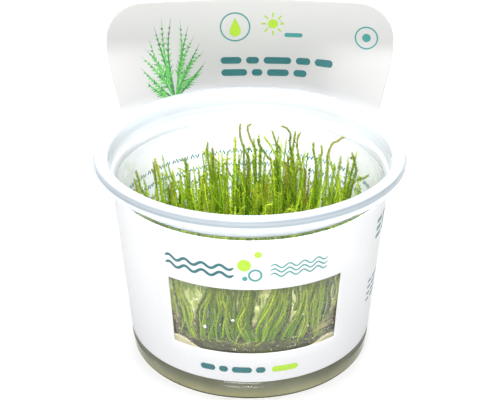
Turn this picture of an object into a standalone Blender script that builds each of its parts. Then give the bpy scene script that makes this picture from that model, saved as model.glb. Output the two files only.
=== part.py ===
"""Flame moss from tissue culture in its clear cup, with a wrap-round card label and an upright back tag.

Metres, +Z up. The origin is the middle of the cup's underside, and the front of the label faces -Y.
Sizes are written in millimetres and multiplied by MM where a mesh is made.
"""

import math
import random

import bmesh
import bpy
from mathutils import Matrix, Vector

MM = 0.001
SIDES = 48
CORNER_POINTS = 3
FULL_TURN = 2 * math.pi
GAP = 0.3
TINY = 1e-6
HAIR = 1e-3

# Cup: one clear moulding, turned about the upright axis.
WALL = 0.85
FLOOR = 1.2
FLOOR_CORNER = 1.5
FOOT_RADIUS = 39.8
FOOT_CORNER = 0.4
BAND_RADIUS = 40.3
BAND_LOW = 4.2
BAND_HIGH = 6.3
LEDGE_HEIGHT = 62.2
LEDGE_RADIUS = 45.6
LEDGE_EASE = 0.5
MOUTH_RADIUS = 46.8
MOUTH_EDGE = 0.4
MOUTH_FLARE = 1.1
LAND = 0.9
RIM_RADIUS = 50.0
RIM_TOP = 70.3
RIM_EDGE = 0.7
SKIRT = 0.75
LIP_RADIUS = 50.5
LIP_LOW = 66.3
LIP_HEIGHT = 1.0
EASE = 0.2

# Label: one die-cut sheet. A cone wraps the cup, and two legs carry the tag behind the rim.
CARD = 0.4
CARD_TO_CUP = 0.34
SLEEVE_LOW = 7.0
SLEEVE_TOP = 60.5
SLEEVE_LOW_RADIUS = 40.36
SLEEVE_TOP_RADIUS = 44.8
WINDOW_LOW = 18.2
WINDOW_HIGH = 42.9
WINDOW_LEFT_DEG = 35.5
WINDOW_RIGHT_DEG = 40.5
LEG_INNER_LEFT = 32.2
LEG_INNER_RIGHT = 33.9
LEG_OUTER = 51.5
LEG_START = 0.6
LEG_BEND_LOW = SLEEVE_TOP - LEG_START
LEG_BEND_HIGH = LIP_LOW - 1.6
LEG_LINES = 5
LEG_ROWS = 5
TAG_TOP = 101.8
TAG_HALF = 50.1
TAG_CORNER = 12.5
TAG_CORNER_STEPS = 5
TAG_LINES = 4
TAG_ROWS = 6
TAG_BACK = 51.3
TAG_CURVE_RADIUS = 180.0
TAG_OPENS_LOW = LIP_LOW - 1.7
TAG_OPENS_HIGH = TAG_TOP - 13.0
TAG_HELD_FROM = 14.0
TAG_HELD_TO = 31.0
CUTOUT_TOP = 67.3
TONGUE_LEFT = 7.8
TONGUE_RIGHT = 9.6
TONGUE_LOW = 64.9
TONGUE_CORNER = 0.8

# Gel, and the felt of old stems that the moss grows on.
GEL_TOP = 18.0
GEL_MENISCUS = 0.8
GEL_MENISCUS_WIDTH = 3.2
MAT_RADIUS = 37.8
MAT_LOW = GEL_TOP + GEL_MENISCUS + GAP
MAT_TOP = 24.6
MAT_EDGE = 1.5
MAT_RIPPLES = ((0.45, 9, 1), (0.3, 17, 2))

# Tufts: each is a crown with seven shoots.
CROWN_RADIUS = 6.9
CROWN_HEIGHT = 1.2
CROWN_EDGE = 0.4
HEART_SHARE = 0.36
HEART_RISE = 0.6
TUFT_RINGS = ((1, 0.0), (6, 14.5), (12, 29.6))
SHOOTS_AROUND = 6
SHOOT_SPREAD = 1.9
SHOOT_DRIFT = 0.6
SHOOT_TWIST_DEG = (30, 50)
SHOOT_STEPS = ((0.1, 0.62), (0.6, 0.78), (1.0, 0.16))
LOWEST_SHARE = 0.78
MOSS_SEED = 7

# The height of the cushion: a broad peak behind the middle of the cup, and a drop along the back wall.
REACH_AT_EDGE = 54.6
PEAK_RISE = 14.5
PEAK_PLACE = (3.0, 8.0)
PEAK_WIDTH = (30.0, 20.5)
BACK_DROP = 18.0
BACK_DROP_FROM = 16.0
BACK_DROP_TO = 34.0

# The lean of the cushion over the height between the felt and the rim.
OPEN_OUT = 0.075
SWAY_X = 1.5
SWAY_Y = 1.2
SWAY_WAVES = (0.09, 0.05, 0.08)
SWAY_START = 1.3


def clear_scene():
    for obj in list(bpy.data.objects):
        bpy.data.objects.remove(obj, do_unlink=True)


def smooth_step(value, low, high):
    """0 below low, 1 above high, and an even S between them."""
    t = min(1.0, max(0.0, (value - low) / (high - low)))
    return t * t * (3 - 2 * t)


def between(value, low, high):
    """The value as a share of the way from low to high."""
    return (value - low) / (high - low)


def spread(low, high, count):
    """Evenly spaced values from low to high, both ends included."""
    return [low + (high - low) * i / (count - 1) for i in range(count)]


def make_material(name, color, roughness, transmission=0.0, alpha=1.0):
    material = bpy.data.materials.new(name)
    material.use_nodes = True
    shader = material.node_tree.nodes["Principled BSDF"]
    shader.inputs["Base Color"].default_value = (*color, 1.0)
    shader.inputs["Roughness"].default_value = roughness
    shader.inputs["Metallic"].default_value = 0.0
    shader.inputs["Transmission Weight"].default_value = transmission
    shader.inputs["Alpha"].default_value = alpha
    material.diffuse_color = (*color, alpha)
    return material


def add_object(name, bm, material, sharp_deg=35):
    """Makes one named object of a finished bmesh, shaded smooth up to its sharp edges."""
    mesh = bpy.data.meshes.new(name)
    bm.to_mesh(mesh)
    bm.free()
    mesh.materials.append(material)
    mesh.shade_smooth()
    mesh.set_sharp_from_angle(angle=math.radians(sharp_deg))
    obj = bpy.data.objects.new(name, mesh)
    bpy.context.scene.collection.objects.link(obj)
    return obj


def arc(center, radius, start_deg, end_deg, count):
    """Points (radius, height) along a round corner, both ends included."""
    steps = [math.radians(a) for a in spread(start_deg, end_deg, count)]
    return [(center[0] + radius * math.cos(a), center[1] + radius * math.sin(a)) for a in steps]


def turn(name, profile, material):
    """Turns an outline of (radius, height) points, which starts and ends on the axis, into a solid."""
    bm = bmesh.new()
    verts = [bm.verts.new((radius * MM, 0.0, height * MM)) for radius, height in profile]
    edges = [bm.edges.new(pair) for pair in zip(verts, verts[1:])]
    bmesh.ops.spin(
        bm, geom=verts + edges, cent=(0, 0, 0), axis=(0, 0, 1), angle=FULL_TURN, steps=SIDES, use_merge=True
    )
    bmesh.ops.remove_doubles(bm, verts=bm.verts, dist=TINY)
    bmesh.ops.recalc_face_normals(bm, faces=bm.faces)
    return add_object(name, bm, material)


def card_radius(height):
    """Outer radius of the sleeve at a height."""
    share = between(height, SLEEVE_LOW, SLEEVE_TOP)
    return SLEEVE_LOW_RADIUS + (SLEEVE_TOP_RADIUS - SLEEVE_LOW_RADIUS) * share


def wall_outer(height):
    """Outer radius of the cup's wall where the sleeve covers it."""
    return card_radius(height) - CARD - CARD_TO_CUP


def wall_inner(height):
    return wall_outer(height) - WALL


def cup_inside():
    """Inner floor and wall, from the axis up to the mouth."""
    corner = (wall_inner(BAND_HIGH) - FLOOR_CORNER, FLOOR + FLOOR_CORNER)
    ledge_low = LEDGE_HEIGHT - 2 * LEDGE_EASE
    ledge_in = LEDGE_RADIUS - WALL
    return [
        (0.0, FLOOR),
        *arc(corner, FLOOR_CORNER, -90, 0, CORNER_POINTS),
        (wall_inner(SLEEVE_TOP), SLEEVE_TOP),
        (wall_inner(ledge_low), ledge_low),
        (ledge_in, LEDGE_HEIGHT + LEDGE_EASE),
        (ledge_in + EASE, LIP_LOW + LIP_HEIGHT),
        (MOUTH_RADIUS - MOUTH_FLARE, RIM_TOP - MOUTH_FLARE - MOUTH_EDGE),
        (MOUTH_RADIUS - MOUTH_EDGE, RIM_TOP - MOUTH_EDGE),
    ]


def cup_rim():
    """The flat land round the mouth, its skirt and the lip at the skirt's foot, then back under to the wall."""
    skirt_in = RIM_RADIUS - SKIRT
    land_low = RIM_TOP - LAND
    return [
        (MOUTH_RADIUS, RIM_TOP),
        (RIM_RADIUS - RIM_EDGE, RIM_TOP),
        (RIM_RADIUS - EASE, RIM_TOP - EASE),
        (RIM_RADIUS, RIM_TOP - RIM_EDGE),
        (RIM_RADIUS, LIP_LOW + LIP_HEIGHT + EASE),
        (LIP_RADIUS, LIP_LOW + LIP_HEIGHT),
        (LIP_RADIUS, LIP_LOW + EASE),
        (LIP_RADIUS - EASE, LIP_LOW),
        (skirt_in, LIP_LOW),
        (skirt_in, land_low - LEDGE_EASE),
        (skirt_in - LEDGE_EASE, land_low),
        (MOUTH_RADIUS, land_low),
        (LEDGE_RADIUS + EASE, RIM_TOP - MOUTH_FLARE - LAND - MOUTH_EDGE),
        (LEDGE_RADIUS, LEDGE_HEIGHT + LEDGE_EASE),
        (wall_outer(LEDGE_HEIGHT) + EASE, LEDGE_HEIGHT - EASE / 2),
        (wall_outer(LEDGE_HEIGHT - LEDGE_EASE), LEDGE_HEIGHT - EASE - LEDGE_EASE),
    ]


def cup_outside():
    """Outer wall behind the sleeve, the raised band under it, and the foot, down to the axis."""
    wall_foot = BAND_HIGH + 2 * EASE
    return [
        (wall_outer(wall_foot), wall_foot),
        (BAND_RADIUS - EASE, BAND_HIGH + EASE),
        (BAND_RADIUS, BAND_HIGH - EASE),
        (BAND_RADIUS, BAND_LOW + EASE),
        (FOOT_RADIUS, BAND_LOW),
        *arc((FOOT_RADIUS - FOOT_CORNER, FOOT_CORNER), FOOT_CORNER, 0, -90, CORNER_POINTS),
        (0.0, 0.0),
    ]


def build_cup(material):
    return turn("cup", cup_inside() + cup_rim() + cup_outside(), material)


def build_gel(material):
    """The nutrient gel fills the foot of the cup and creeps a little up its wall."""
    edge = GEL_TOP + GEL_MENISCUS
    corner = (wall_inner(BAND_HIGH) - FLOOR_CORNER, FLOOR + FLOOR_CORNER)
    outline = [
        (0.0, GEL_TOP),
        (wall_inner(GEL_TOP) - GEL_MENISCUS_WIDTH, GEL_TOP),
        (wall_inner(edge) - GAP - EASE, edge),
        (wall_inner(edge) - GAP, edge),
        *arc(corner, FLOOR_CORNER - GAP, 0, -90, CORNER_POINTS),
        (0.0, FLOOR + GAP),
    ]
    return turn("gel", outline, material)


def leg_radius(height):
    """How far out the card stands behind the cup: it bends out from the sleeve and round the lip."""
    sleeve = card_radius(SLEEVE_TOP) - CARD / 2
    return sleeve + (TAG_BACK - sleeve) * smooth_step(height, LEG_BEND_LOW, LEG_BEND_HIGH)


def card_point(arc_length, height):
    """A point of the card above the sleeve. arc_length runs from the middle of the back towards +X.

    The legs hug the lip. The tag between and above them opens out to a much flatter curve.
    """
    hug = leg_radius(height)
    hug_angle = arc_length / hug
    flat_angle = arc_length / TAG_CURVE_RADIUS
    sag = TAG_CURVE_RADIUS * (1 - math.cos(flat_angle))
    hug_xy = Vector((hug * math.sin(hug_angle), hug * math.cos(hug_angle)))
    flat_xy = Vector((TAG_CURVE_RADIUS * math.sin(flat_angle), TAG_BACK - sag))
    opened = smooth_step(height, TAG_OPENS_LOW, TAG_OPENS_HIGH)
    held = smooth_step(abs(arc_length), TAG_HELD_FROM, TAG_HELD_TO)
    xy = hug_xy.lerp(flat_xy, 1 - (1 - opened) * held)
    return (xy.x * MM, xy.y * MM, height * MM)


def sleeve_point(angle, height):
    """A point of the sleeve. The angle runs from the middle of the back towards +X."""
    radius = card_radius(height) - CARD / 2
    return (radius * math.sin(angle) * MM, radius * math.cos(angle) * MM, height * MM)


def tag_half_width(height):
    """Half the tag's width: slightly tapered sides, then a quarter circle at each top corner."""
    above = height - (TAG_TOP - TAG_CORNER)
    if above > 0:
        return TAG_HALF - TAG_CORNER + math.sqrt(max(0.0, TAG_CORNER**2 - above**2))
    share = between(height, CUTOUT_TOP, TAG_TOP - TAG_CORNER)
    return LEG_OUTER + (TAG_HALF - LEG_OUTER) * share


def tag_columns():
    """Distances round the card at which the tag has a column: its edges and some between them."""
    left = spread(-LEG_OUTER, -LEG_INNER_LEFT, LEG_LINES)
    middle_left = spread(-LEG_INNER_LEFT, -TONGUE_LEFT, TAG_LINES)[1:]
    tongue = spread(-TONGUE_LEFT, TONGUE_RIGHT, TAG_LINES)[1:]
    middle_right = spread(TONGUE_RIGHT, LEG_INNER_RIGHT, TAG_LINES)[1:]
    right = spread(LEG_INNER_RIGHT, LEG_OUTER, LEG_LINES)[1:]
    return left + middle_left + tongue + middle_right + right


def leg_columns():
    """The tag's columns that stand on the left leg, and those that stand on the right one."""
    left = [a for a in tag_columns() if a <= -LEG_INNER_LEFT + TINY]
    right = [a for a in tag_columns() if a >= LEG_INNER_RIGHT - TINY]
    return left, right


def sleeve_angles(top_radius):
    """Angles of the sleeve's columns, the legs' and the window's edges among them."""
    left, right = leg_columns()
    legs = [a / top_radius for a in left + right]
    window = [math.pi - math.radians(WINDOW_RIGHT_DEG), math.pi + math.radians(WINDOW_LEFT_DEG)]
    fixed = sorted({round(a % FULL_TURN, 9) for a in legs + window})
    angles = []
    for start, end in zip(fixed, fixed[1:] + [fixed[0] + FULL_TURN]):
        parts = max(1, round((end - start) / (FULL_TURN / SIDES)))
        angles += [start + (end - start) * i / parts for i in range(parts)]
    return angles, window


def add_sleeve(bm, top_radius):
    """The cone round the cup, with the window left out. Gives back pairs of angle and top vertex."""
    angles, window = sleeve_angles(top_radius)
    heights = [SLEEVE_LOW, WINDOW_LOW, WINDOW_HIGH, SLEEVE_TOP]
    columns = [[bm.verts.new(sleeve_point(a, h)) for h in heights] for a in angles]
    for i, column in enumerate(columns):
        following = columns[(i + 1) % len(columns)]
        in_window = window[0] < angles[i] + HAIR < window[1]
        for row in range(len(heights) - 1):
            if row == 1 and in_window:
                continue
            bm.faces.new((column[row], following[row], following[row + 1], column[row + 1]))
    return list(zip(angles, (column[-1] for column in columns)))


def add_rows(bm, rows):
    """Faces between rows of vertices that have the same number of columns."""
    for low, high in zip(rows, rows[1:]):
        for i in range(len(low) - 1):
            bm.faces.new((low[i], low[i + 1], high[i + 1], high[i]))


def vertex_at(pairs, angle):
    """The vertex whose angle is nearest to this one."""
    return min(pairs, key=lambda pair: abs(math.remainder(pair[0] - angle, FULL_TURN)))[1]


def add_leg(bm, arcs, sleeve_top, top_radius):
    """One leg from the sleeve's top edge to the height of the cut-out. Gives back its top row."""
    heights = spread(SLEEVE_TOP + LEG_START, TONGUE_LOW, LEG_ROWS) + [CUTOUT_TOP]
    rows = [[vertex_at(sleeve_top, a / top_radius) for a in arcs]]
    rows += [[bm.verts.new(card_point(a, height)) for a in arcs] for height in heights]
    add_rows(bm, rows)
    return rows[-1]


def add_tag(bm, arcs, foot):
    """The tag above the cut-out. foot has the vertices of its lowest row, legs included."""
    corner_low = TAG_TOP - TAG_CORNER
    straight = spread(CUTOUT_TOP, corner_low, TAG_ROWS)[1:]
    turns = spread(0, math.pi / 2, TAG_CORNER_STEPS + 1)[1:]
    rounded = [corner_low + TAG_CORNER * math.sin(a) for a in turns]
    rows = [foot]
    for height in straight + rounded:
        share = tag_half_width(height) / LEG_OUTER
        rows.append([bm.verts.new(card_point(a * share, height)) for a in arcs])
    add_rows(bm, rows)


def add_tongue(bm, arcs, top):
    """The small tongue below the cut-out's top edge, with eased lower corners."""
    squeeze = 1 - 2 * TONGUE_CORNER / (TONGUE_LEFT + TONGUE_RIGHT)
    rows = [[bm.verts.new(card_point(a * squeeze, TONGUE_LOW)) for a in arcs]]
    rows.append([bm.verts.new(card_point(a, TONGUE_LOW + TONGUE_CORNER)) for a in arcs])
    rows.append(top)
    add_rows(bm, rows)


def build_label(material):
    bm = bmesh.new()
    top_radius = SLEEVE_TOP_RADIUS - CARD / 2
    sleeve_top = add_sleeve(bm, top_radius)
    arcs = tag_columns()
    left, right = leg_columns()
    between_legs = arcs[len(left) : -len(right)]
    foot = add_leg(bm, left, sleeve_top, top_radius)
    foot += [bm.verts.new(card_point(a, CUTOUT_TOP)) for a in between_legs]
    foot += add_leg(bm, right, sleeve_top, top_radius)
    add_tag(bm, arcs, foot)
    on_tongue = [i for i, a in enumerate(arcs) if -TONGUE_LEFT - TINY <= a <= TONGUE_RIGHT + TINY]
    add_tongue(bm, [arcs[i] for i in on_tongue], [foot[i] for i in on_tongue])
    bmesh.ops.recalc_face_normals(bm, faces=bm.faces)
    label = add_object("label", bm, material)
    sheet = label.modifiers.new("Card thickness", "SOLIDIFY")
    sheet.thickness = CARD * MM
    sheet.offset = 0.0
    sheet.use_even_offset = True
    return label


def moss_reach(x, y):
    """How high the moss grows over a place, in mm: tallest behind the middle, low along the back wall."""
    from_peak = math.hypot((x - PEAK_PLACE[0]) / PEAK_WIDTH[0], (y - PEAK_PLACE[1]) / PEAK_WIDTH[1])
    return REACH_AT_EDGE + PEAK_RISE * math.exp(-(from_peak**2)) - BACK_DROP * smooth_step(
        y, BACK_DROP_FROM, BACK_DROP_TO
    )


def lean(point):
    """Leans the whole cushion: outwards with height, with a slow sway, so that no two shoots meet."""
    x, y, z = (value / MM for value in point)
    along_y, along_z, along_x = SWAY_WAVES
    rise = between(z, MAT_TOP, RIM_TOP)
    open_out = 1 + OPEN_OUT * rise
    sway_x = SWAY_X * rise * math.sin(along_y * y + along_z * z)
    sway_y = SWAY_Y * rise * math.sin(along_x * x + SWAY_START)
    return Vector((x * open_out + sway_x, y * open_out + sway_y, z)) * MM


def grow_shoot(bm, face, heart, top, rng):
    """Draws one face of a crown up into a tapering, twisting shoot that leans away from the tuft's heart."""
    start = face.calc_center_median()
    height = top * MM - start.z
    twist = Matrix.Rotation(rng.choice((-1, 1)) * math.radians(rng.uniform(*SHOOT_TWIST_DEG)), 3, "Z")
    away = Vector((start.x - heart.x, start.y - heart.y, 0)) * (SHOOT_SPREAD / CROWN_RADIUS)
    stray = [rng.uniform(-SHOOT_DRIFT, SHOOT_DRIFT) for _ in range(2)]
    drift = away + Vector((*stray, 0)) * MM
    for share, width in SHOOT_STEPS:
        face = bmesh.ops.extrude_discrete_faces(bm, faces=[face])["faces"][0]
        goal = start + drift * share + Vector((0, 0, height * share))
        bmesh.ops.translate(bm, verts=face.verts, vec=goal - face.calc_center_median())
        to_goal = Matrix.Translation(-goal)
        bmesh.ops.scale(bm, verts=face.verts, vec=(width, width, width), space=to_goal)
        bmesh.ops.rotate(bm, verts=face.verts, cent=goal, matrix=twist)


def add_crown(bm, x, y, heading):
    """A low hexagonal crown. Gives back its top faces: one in the middle and one on each side."""
    low = MAT_TOP + GAP
    corners = [heading + FULL_TURN * i / SHOOTS_AROUND for i in range(SHOOTS_AROUND)]

    def ring(radius, height):
        return [
            bm.verts.new(((x + radius * math.cos(a)) * MM, (y + radius * math.sin(a)) * MM, height * MM))
            for a in corners
        ]

    bottom = ring(CROWN_RADIUS, low)
    edge = ring(CROWN_RADIUS - CROWN_EDGE, low + CROWN_HEIGHT)
    heart = ring(CROWN_RADIUS * HEART_SHARE, low + CROWN_HEIGHT + HEART_RISE)
    bm.faces.new(reversed(bottom))
    tops = [bm.faces.new(heart)]
    for i in range(SHOOTS_AROUND):
        j = (i + 1) % SHOOTS_AROUND
        bm.faces.new((bottom[i], bottom[j], edge[j], edge[i]))
        tops.append(bm.faces.new((edge[i], edge[j], heart[j], heart[i])))
    return tops


def build_tuft(name, x, y, material, rng):
    """A crown on the mat with its seven shoots."""
    bm = bmesh.new()
    heart = Vector((x, y, 0)) * MM
    tops = add_crown(bm, x, y, rng.uniform(0, FULL_TURN))
    bmesh.ops.recalc_face_normals(bm, faces=bm.faces)
    for face in tops:
        center = face.calc_center_median() / MM
        tallest = moss_reach(center.x, center.y)
        reach = MAT_TOP + (tallest - MAT_TOP) * rng.uniform(LOWEST_SHARE, 1.0)
        grow_shoot(bm, face, heart, reach, rng)
    for vert in bm.verts:
        vert.co = lean(vert.co)
    return add_object(name, bm, material, sharp_deg=60)


def build_tufts(material):
    rng = random.Random(MOSS_SEED)
    number = 0
    for count, ring_radius in TUFT_RINGS:
        for i in range(count):
            number += 1
            angle = FULL_TURN * (i + 0.5 * (count % 2)) / count
            x = ring_radius * math.cos(angle)
            y = ring_radius * math.sin(angle)
            build_tuft(f"moss_tuft_{number:02d}", x, y, material, rng)


def mat_row(bm, radius, height):
    """One row of vertices round the felt, with its radius rippled."""
    row = []
    for i in range(SIDES):
        angle = FULL_TURN * i / SIDES
        ripple = sum(swing * math.sin(count * angle + rise * height) for swing, count, rise in MAT_RIPPLES)
        away = (radius + ripple) * MM
        row.append(bm.verts.new((away * math.cos(angle), away * math.sin(angle), height * MM)))
    return row


def build_mat(material):
    """The felt of old stems that the tufts stand on: flat on top, uneven round its edge."""
    bm = bmesh.new()
    rows = [
        mat_row(bm, MAT_RADIUS - MAT_EDGE, MAT_LOW),
        mat_row(bm, MAT_RADIUS, MAT_LOW + MAT_EDGE),
        mat_row(bm, MAT_RADIUS - EASE, MAT_TOP - MAT_EDGE),
        mat_row(bm, MAT_RADIUS - MAT_EDGE, MAT_TOP),
    ]
    for low, high in zip(rows, rows[1:]):
        for i in range(SIDES):
            j = (i + 1) % SIDES
            bm.faces.new((low[i], low[j], high[j], high[i]))
    bm.faces.new(list(reversed(rows[0])))
    bm.faces.new(rows[-1])
    bmesh.ops.recalc_face_normals(bm, faces=bm.faces)
    return add_object("moss_mat", bm, material)


def build_all():
    clear_scene()
    clear_plastic = make_material("clear_plastic", (0.93, 0.96, 0.98), 0.05, transmission=1.0, alpha=0.3)
    white_card = make_material("white_card", (0.93, 0.94, 0.96), 0.45)
    agar = make_material("agar_gel", (0.62, 0.60, 0.42), 0.2, transmission=0.3)
    old_moss = make_material("old_moss", (0.13, 0.20, 0.05), 0.8)
    young_moss = make_material("young_moss", (0.33, 0.52, 0.05), 0.7)
    build_cup(clear_plastic)
    build_label(white_card)
    build_gel(agar)
    build_mat(old_moss)
    build_tufts(young_moss)


build_all()
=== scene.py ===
# %% [markdown]
# # Flame moss in its clear culture cup
#
# The object is a clear plastic cup with a layer of cloudy nutrient gel, a cushion of living moss that stands
# up from it in hundreds of leafy shoots, and one sheet of card that wraps the cup and carries an upright tag.
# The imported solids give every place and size. This script dresses them: each solid is replaced by a finer
# piece of the same form, and the moss is grown shoot by shoot on the places of the solid tufts.

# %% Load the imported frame
import math
import random

import bpy
import numpy as np
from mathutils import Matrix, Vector, kdtree, noise


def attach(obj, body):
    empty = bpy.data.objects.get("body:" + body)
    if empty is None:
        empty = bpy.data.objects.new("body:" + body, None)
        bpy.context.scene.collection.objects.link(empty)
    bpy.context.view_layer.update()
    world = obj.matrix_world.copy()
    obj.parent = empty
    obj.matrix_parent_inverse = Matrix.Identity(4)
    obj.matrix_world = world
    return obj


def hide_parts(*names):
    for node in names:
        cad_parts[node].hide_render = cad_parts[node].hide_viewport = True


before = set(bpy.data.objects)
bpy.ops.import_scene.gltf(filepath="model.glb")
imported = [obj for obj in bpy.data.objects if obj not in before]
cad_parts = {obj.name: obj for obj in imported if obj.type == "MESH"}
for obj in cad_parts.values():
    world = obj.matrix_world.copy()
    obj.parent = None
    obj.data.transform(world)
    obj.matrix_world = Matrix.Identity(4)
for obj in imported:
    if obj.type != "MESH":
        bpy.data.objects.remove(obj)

MM = 0.001
FULL_TURN = 2 * math.pi
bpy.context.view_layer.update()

# %% [markdown]
# ## Camera, floor and light
#
# A product picture on white needs three things: a long lens a little above the rim, a floor so pale that it
# runs into the background, and light from all around. A bright even sky does most of the work here, because
# it passes through clear plastic without any special trick. Three large soft panels add a direction: the one
# in front gives the card its shading, the one high behind lights the edges of the rim and shines through the
# tips of the moss, and the one overhead reaches down between the shoots. A narrow soft beam goes steeply
# through the mouth of the cup, because the moss and the inner side of the card would lie in shade without it.

# %% Camera
CAMERA_PLACE = (0.0, -0.364, 0.2416)
CAMERA_TILT_DEG = 62.32
CAMERA_LENS = 90.3

camera_data = bpy.data.cameras.new("photo_camera")
camera_data.lens = CAMERA_LENS
camera_data.sensor_width = 36.0
camera_data.clip_start = 0.01
camera = bpy.data.objects.new("photo_camera", camera_data)
camera.location = CAMERA_PLACE
camera.rotation_euler = (math.radians(CAMERA_TILT_DEG), 0.0, 0.0)
bpy.context.scene.collection.objects.link(camera)
bpy.context.scene.camera = camera
bpy.context.scene.view_settings.view_transform = "Standard"

# %% Sky and soft panels
SKY_STRENGTH = 0.64

world = bpy.data.worlds.new("white_studio")
world.use_nodes = True
world.node_tree.nodes["Background"].inputs["Color"].default_value = (1.0, 1.0, 1.0, 1.0)
world.node_tree.nodes["Background"].inputs["Strength"].default_value = SKY_STRENGTH
bpy.context.scene.world = world


def aimed_lamp(name, kind, place, aim, power, **shape):
    """A lamp at a place, turned towards what it lights. shape holds the settings that its kind has."""
    data = bpy.data.lights.new(name, kind)
    data.energy = power
    for setting, value in shape.items():
        setattr(data, setting, value)
    lamp = bpy.data.objects.new(name, data)
    lamp.location = place
    lamp.rotation_euler = (Vector(aim) - Vector(place)).to_track_quat("-Z", "Y").to_euler()
    bpy.context.scene.collection.objects.link(lamp)


OBJECT_MIDDLE = (0.0, 0.0, 0.05)
MOUTH_MIDDLE = (0.0, 0.002, 0.064)
BEAM_WIDTH_DEG = 7.8
aimed_lamp("key_panel", "AREA", (-0.12, -0.88, 0.90), OBJECT_MIDDLE, 9.0, shape="SQUARE", size=0.6)
aimed_lamp("back_panel", "AREA", (0.05, 0.50, 0.85), OBJECT_MIDDLE, 3.5, shape="SQUARE", size=0.5)
aimed_lamp("top_panel", "AREA", (0.0, -0.05, 1.0), OBJECT_MIDDLE, 7.0, shape="SQUARE", size=0.5)
aimed_lamp(
    "inner_beam", "SPOT", (0.0, -0.36, 0.62), MOUTH_MIDDLE, 30.0,
    spot_size=math.radians(BEAM_WIDTH_DEG), spot_blend=0.5, shadow_soft_size=0.05
)
print("lamps:", len(bpy.data.lights))

# %% [markdown]
# ## Shader groups
#
# Real surfaces are never one flat value. Four small node groups are shared by the materials below, each built
# once and placed with its own values. Three give a mask between 0 and 1, to mix colours and roughness with:
# cloudy patches, long streaks from stretched noise, and a rise from one height to another. The fourth turns
# fine noise into a normal, so that card, gel and moulded plastic each get their own tooth from the same
# group. All of them read the object's own coordinates, so a pattern stays on its piece.

# %% Node and group helpers
def add_node(tree, kind, **settings):
    """Adds a node. A setting named after an input socket sets that socket, any other sets the node itself."""
    node = tree.nodes.new(kind)
    for key, value in settings.items():
        label = key.replace("_", " ")
        if label in node.inputs:
            node.inputs[label].default_value = value
        else:
            setattr(node, key, value)
    return node


def start_group(name, inputs, output):
    """A node group with named inputs and one output, and the sockets that its own nodes are linked to."""
    tree = bpy.data.node_groups.new(name, "ShaderNodeTree")
    for label, value in inputs.items():
        kind = "NodeSocketVector" if isinstance(value, tuple) else "NodeSocketFloat"
        tree.interface.new_socket(name=label, in_out="INPUT", socket_type=kind).default_value = value
    kind = "NodeSocketVector" if output == "Normal" else "NodeSocketFloat"
    tree.interface.new_socket(name=output, in_out="OUTPUT", socket_type=kind)
    given = add_node(tree, "NodeGroupInput")
    place = add_node(tree, "ShaderNodeTexCoord")
    out = add_node(tree, "NodeGroupOutput")
    return tree, given.outputs, place.outputs["Object"], out.inputs[output]


# %% Three masks
def sharpened_mask(tree, given, source, out, **settings):
    """The last step of each mask: 0 below the group's low value, 1 above its high one."""
    levels = add_node(tree, "ShaderNodeMapRange", **settings)
    tree.links.new(source, levels.inputs["Value"])
    tree.links.new(given["Low"], levels.inputs["From Min"])
    tree.links.new(given["High"], levels.inputs["From Max"])
    tree.links.new(levels.outputs["Result"], out)


def make_cloud_group():
    """Cloudy patches of one size."""
    inputs = {"Scale": 100.0, "Low": 0.35, "High": 0.65}
    tree, given, place, out = start_group("cloud_mask", inputs, "Mask")
    cloud = add_node(tree, "ShaderNodeTexNoise", Detail=3.0, Roughness=0.55)
    tree.links.new(place, cloud.inputs["Vector"])
    tree.links.new(given["Scale"], cloud.inputs["Scale"])
    sharpened_mask(tree, given, cloud.outputs["Fac"], out)
    return tree


def make_streak_group():
    """Noise with its own scale along each axis: it runs in lines along the axis with the smallest one."""
    inputs = {"Scales": (8.0, 8.0, 1100.0), "Detail": 1.0, "Distortion": 0.0, "Low": 0.35, "High": 0.65}
    tree, given, place, out = start_group("streak_mask", inputs, "Mask")
    stretch = add_node(tree, "ShaderNodeMapping")
    streaks = add_node(tree, "ShaderNodeTexNoise", Scale=1.0)
    tree.links.new(place, stretch.inputs["Vector"])
    tree.links.new(given["Scales"], stretch.inputs["Scale"])
    tree.links.new(stretch.outputs["Vector"], streaks.inputs["Vector"])
    tree.links.new(given["Detail"], streaks.inputs["Detail"])
    tree.links.new(given["Distortion"], streaks.inputs["Distortion"])
    sharpened_mask(tree, given, streaks.outputs["Fac"], out)
    return tree


def make_height_group():
    """A smooth rise from one height to another, in metres."""
    tree, given, place, out = start_group("height_mask", {"Low": 0.0, "High": 0.01}, "Mask")
    split = add_node(tree, "ShaderNodeSeparateXYZ")
    tree.links.new(place, split.inputs["Vector"])
    sharpened_mask(tree, given, split.outputs["Z"], out, interpolation_type="SMOOTHSTEP")
    return tree


# %% Surface tooth
def make_tooth_group():
    """A fine bump from noise, for the small unevenness of a real surface."""
    inputs = {"Scale": 2000.0, "Strength": 0.1, "Depth": 0.0001}
    tree, given, place, out = start_group("surface_tooth", inputs, "Normal")
    grain = add_node(tree, "ShaderNodeTexNoise", Detail=2.0)
    bump = add_node(tree, "ShaderNodeBump")
    tree.links.new(place, grain.inputs["Vector"])
    tree.links.new(given["Scale"], grain.inputs["Scale"])
    tree.links.new(grain.outputs["Fac"], bump.inputs["Height"])
    tree.links.new(given["Strength"], bump.inputs["Strength"])
    tree.links.new(given["Depth"], bump.inputs["Distance"])
    tree.links.new(bump.outputs["Normal"], out)
    return tree


CLOUD = make_cloud_group()
STREAKS = make_streak_group()
HEIGHT = make_height_group()
TOOTH = make_tooth_group()
print("shader groups:", [group.name for group in (CLOUD, STREAKS, HEIGHT, TOOTH)])

# %% Material helpers
def start_material(name, **plain_values):
    """A material whose Principled shader has these plain values."""
    material = bpy.data.materials.new(name)
    material.use_nodes = True
    shader = material.node_tree.nodes["Principled BSDF"]
    for key, value in plain_values.items():
        shader.inputs[key.replace("_", " ")].default_value = value
    return material, material.node_tree, shader


def group_output(tree, group, **values):
    """Places a shared group in a material with its own values, and gives what it puts out."""
    return add_node(tree, "ShaderNodeGroup", node_tree=group, **values).outputs[0]


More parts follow.
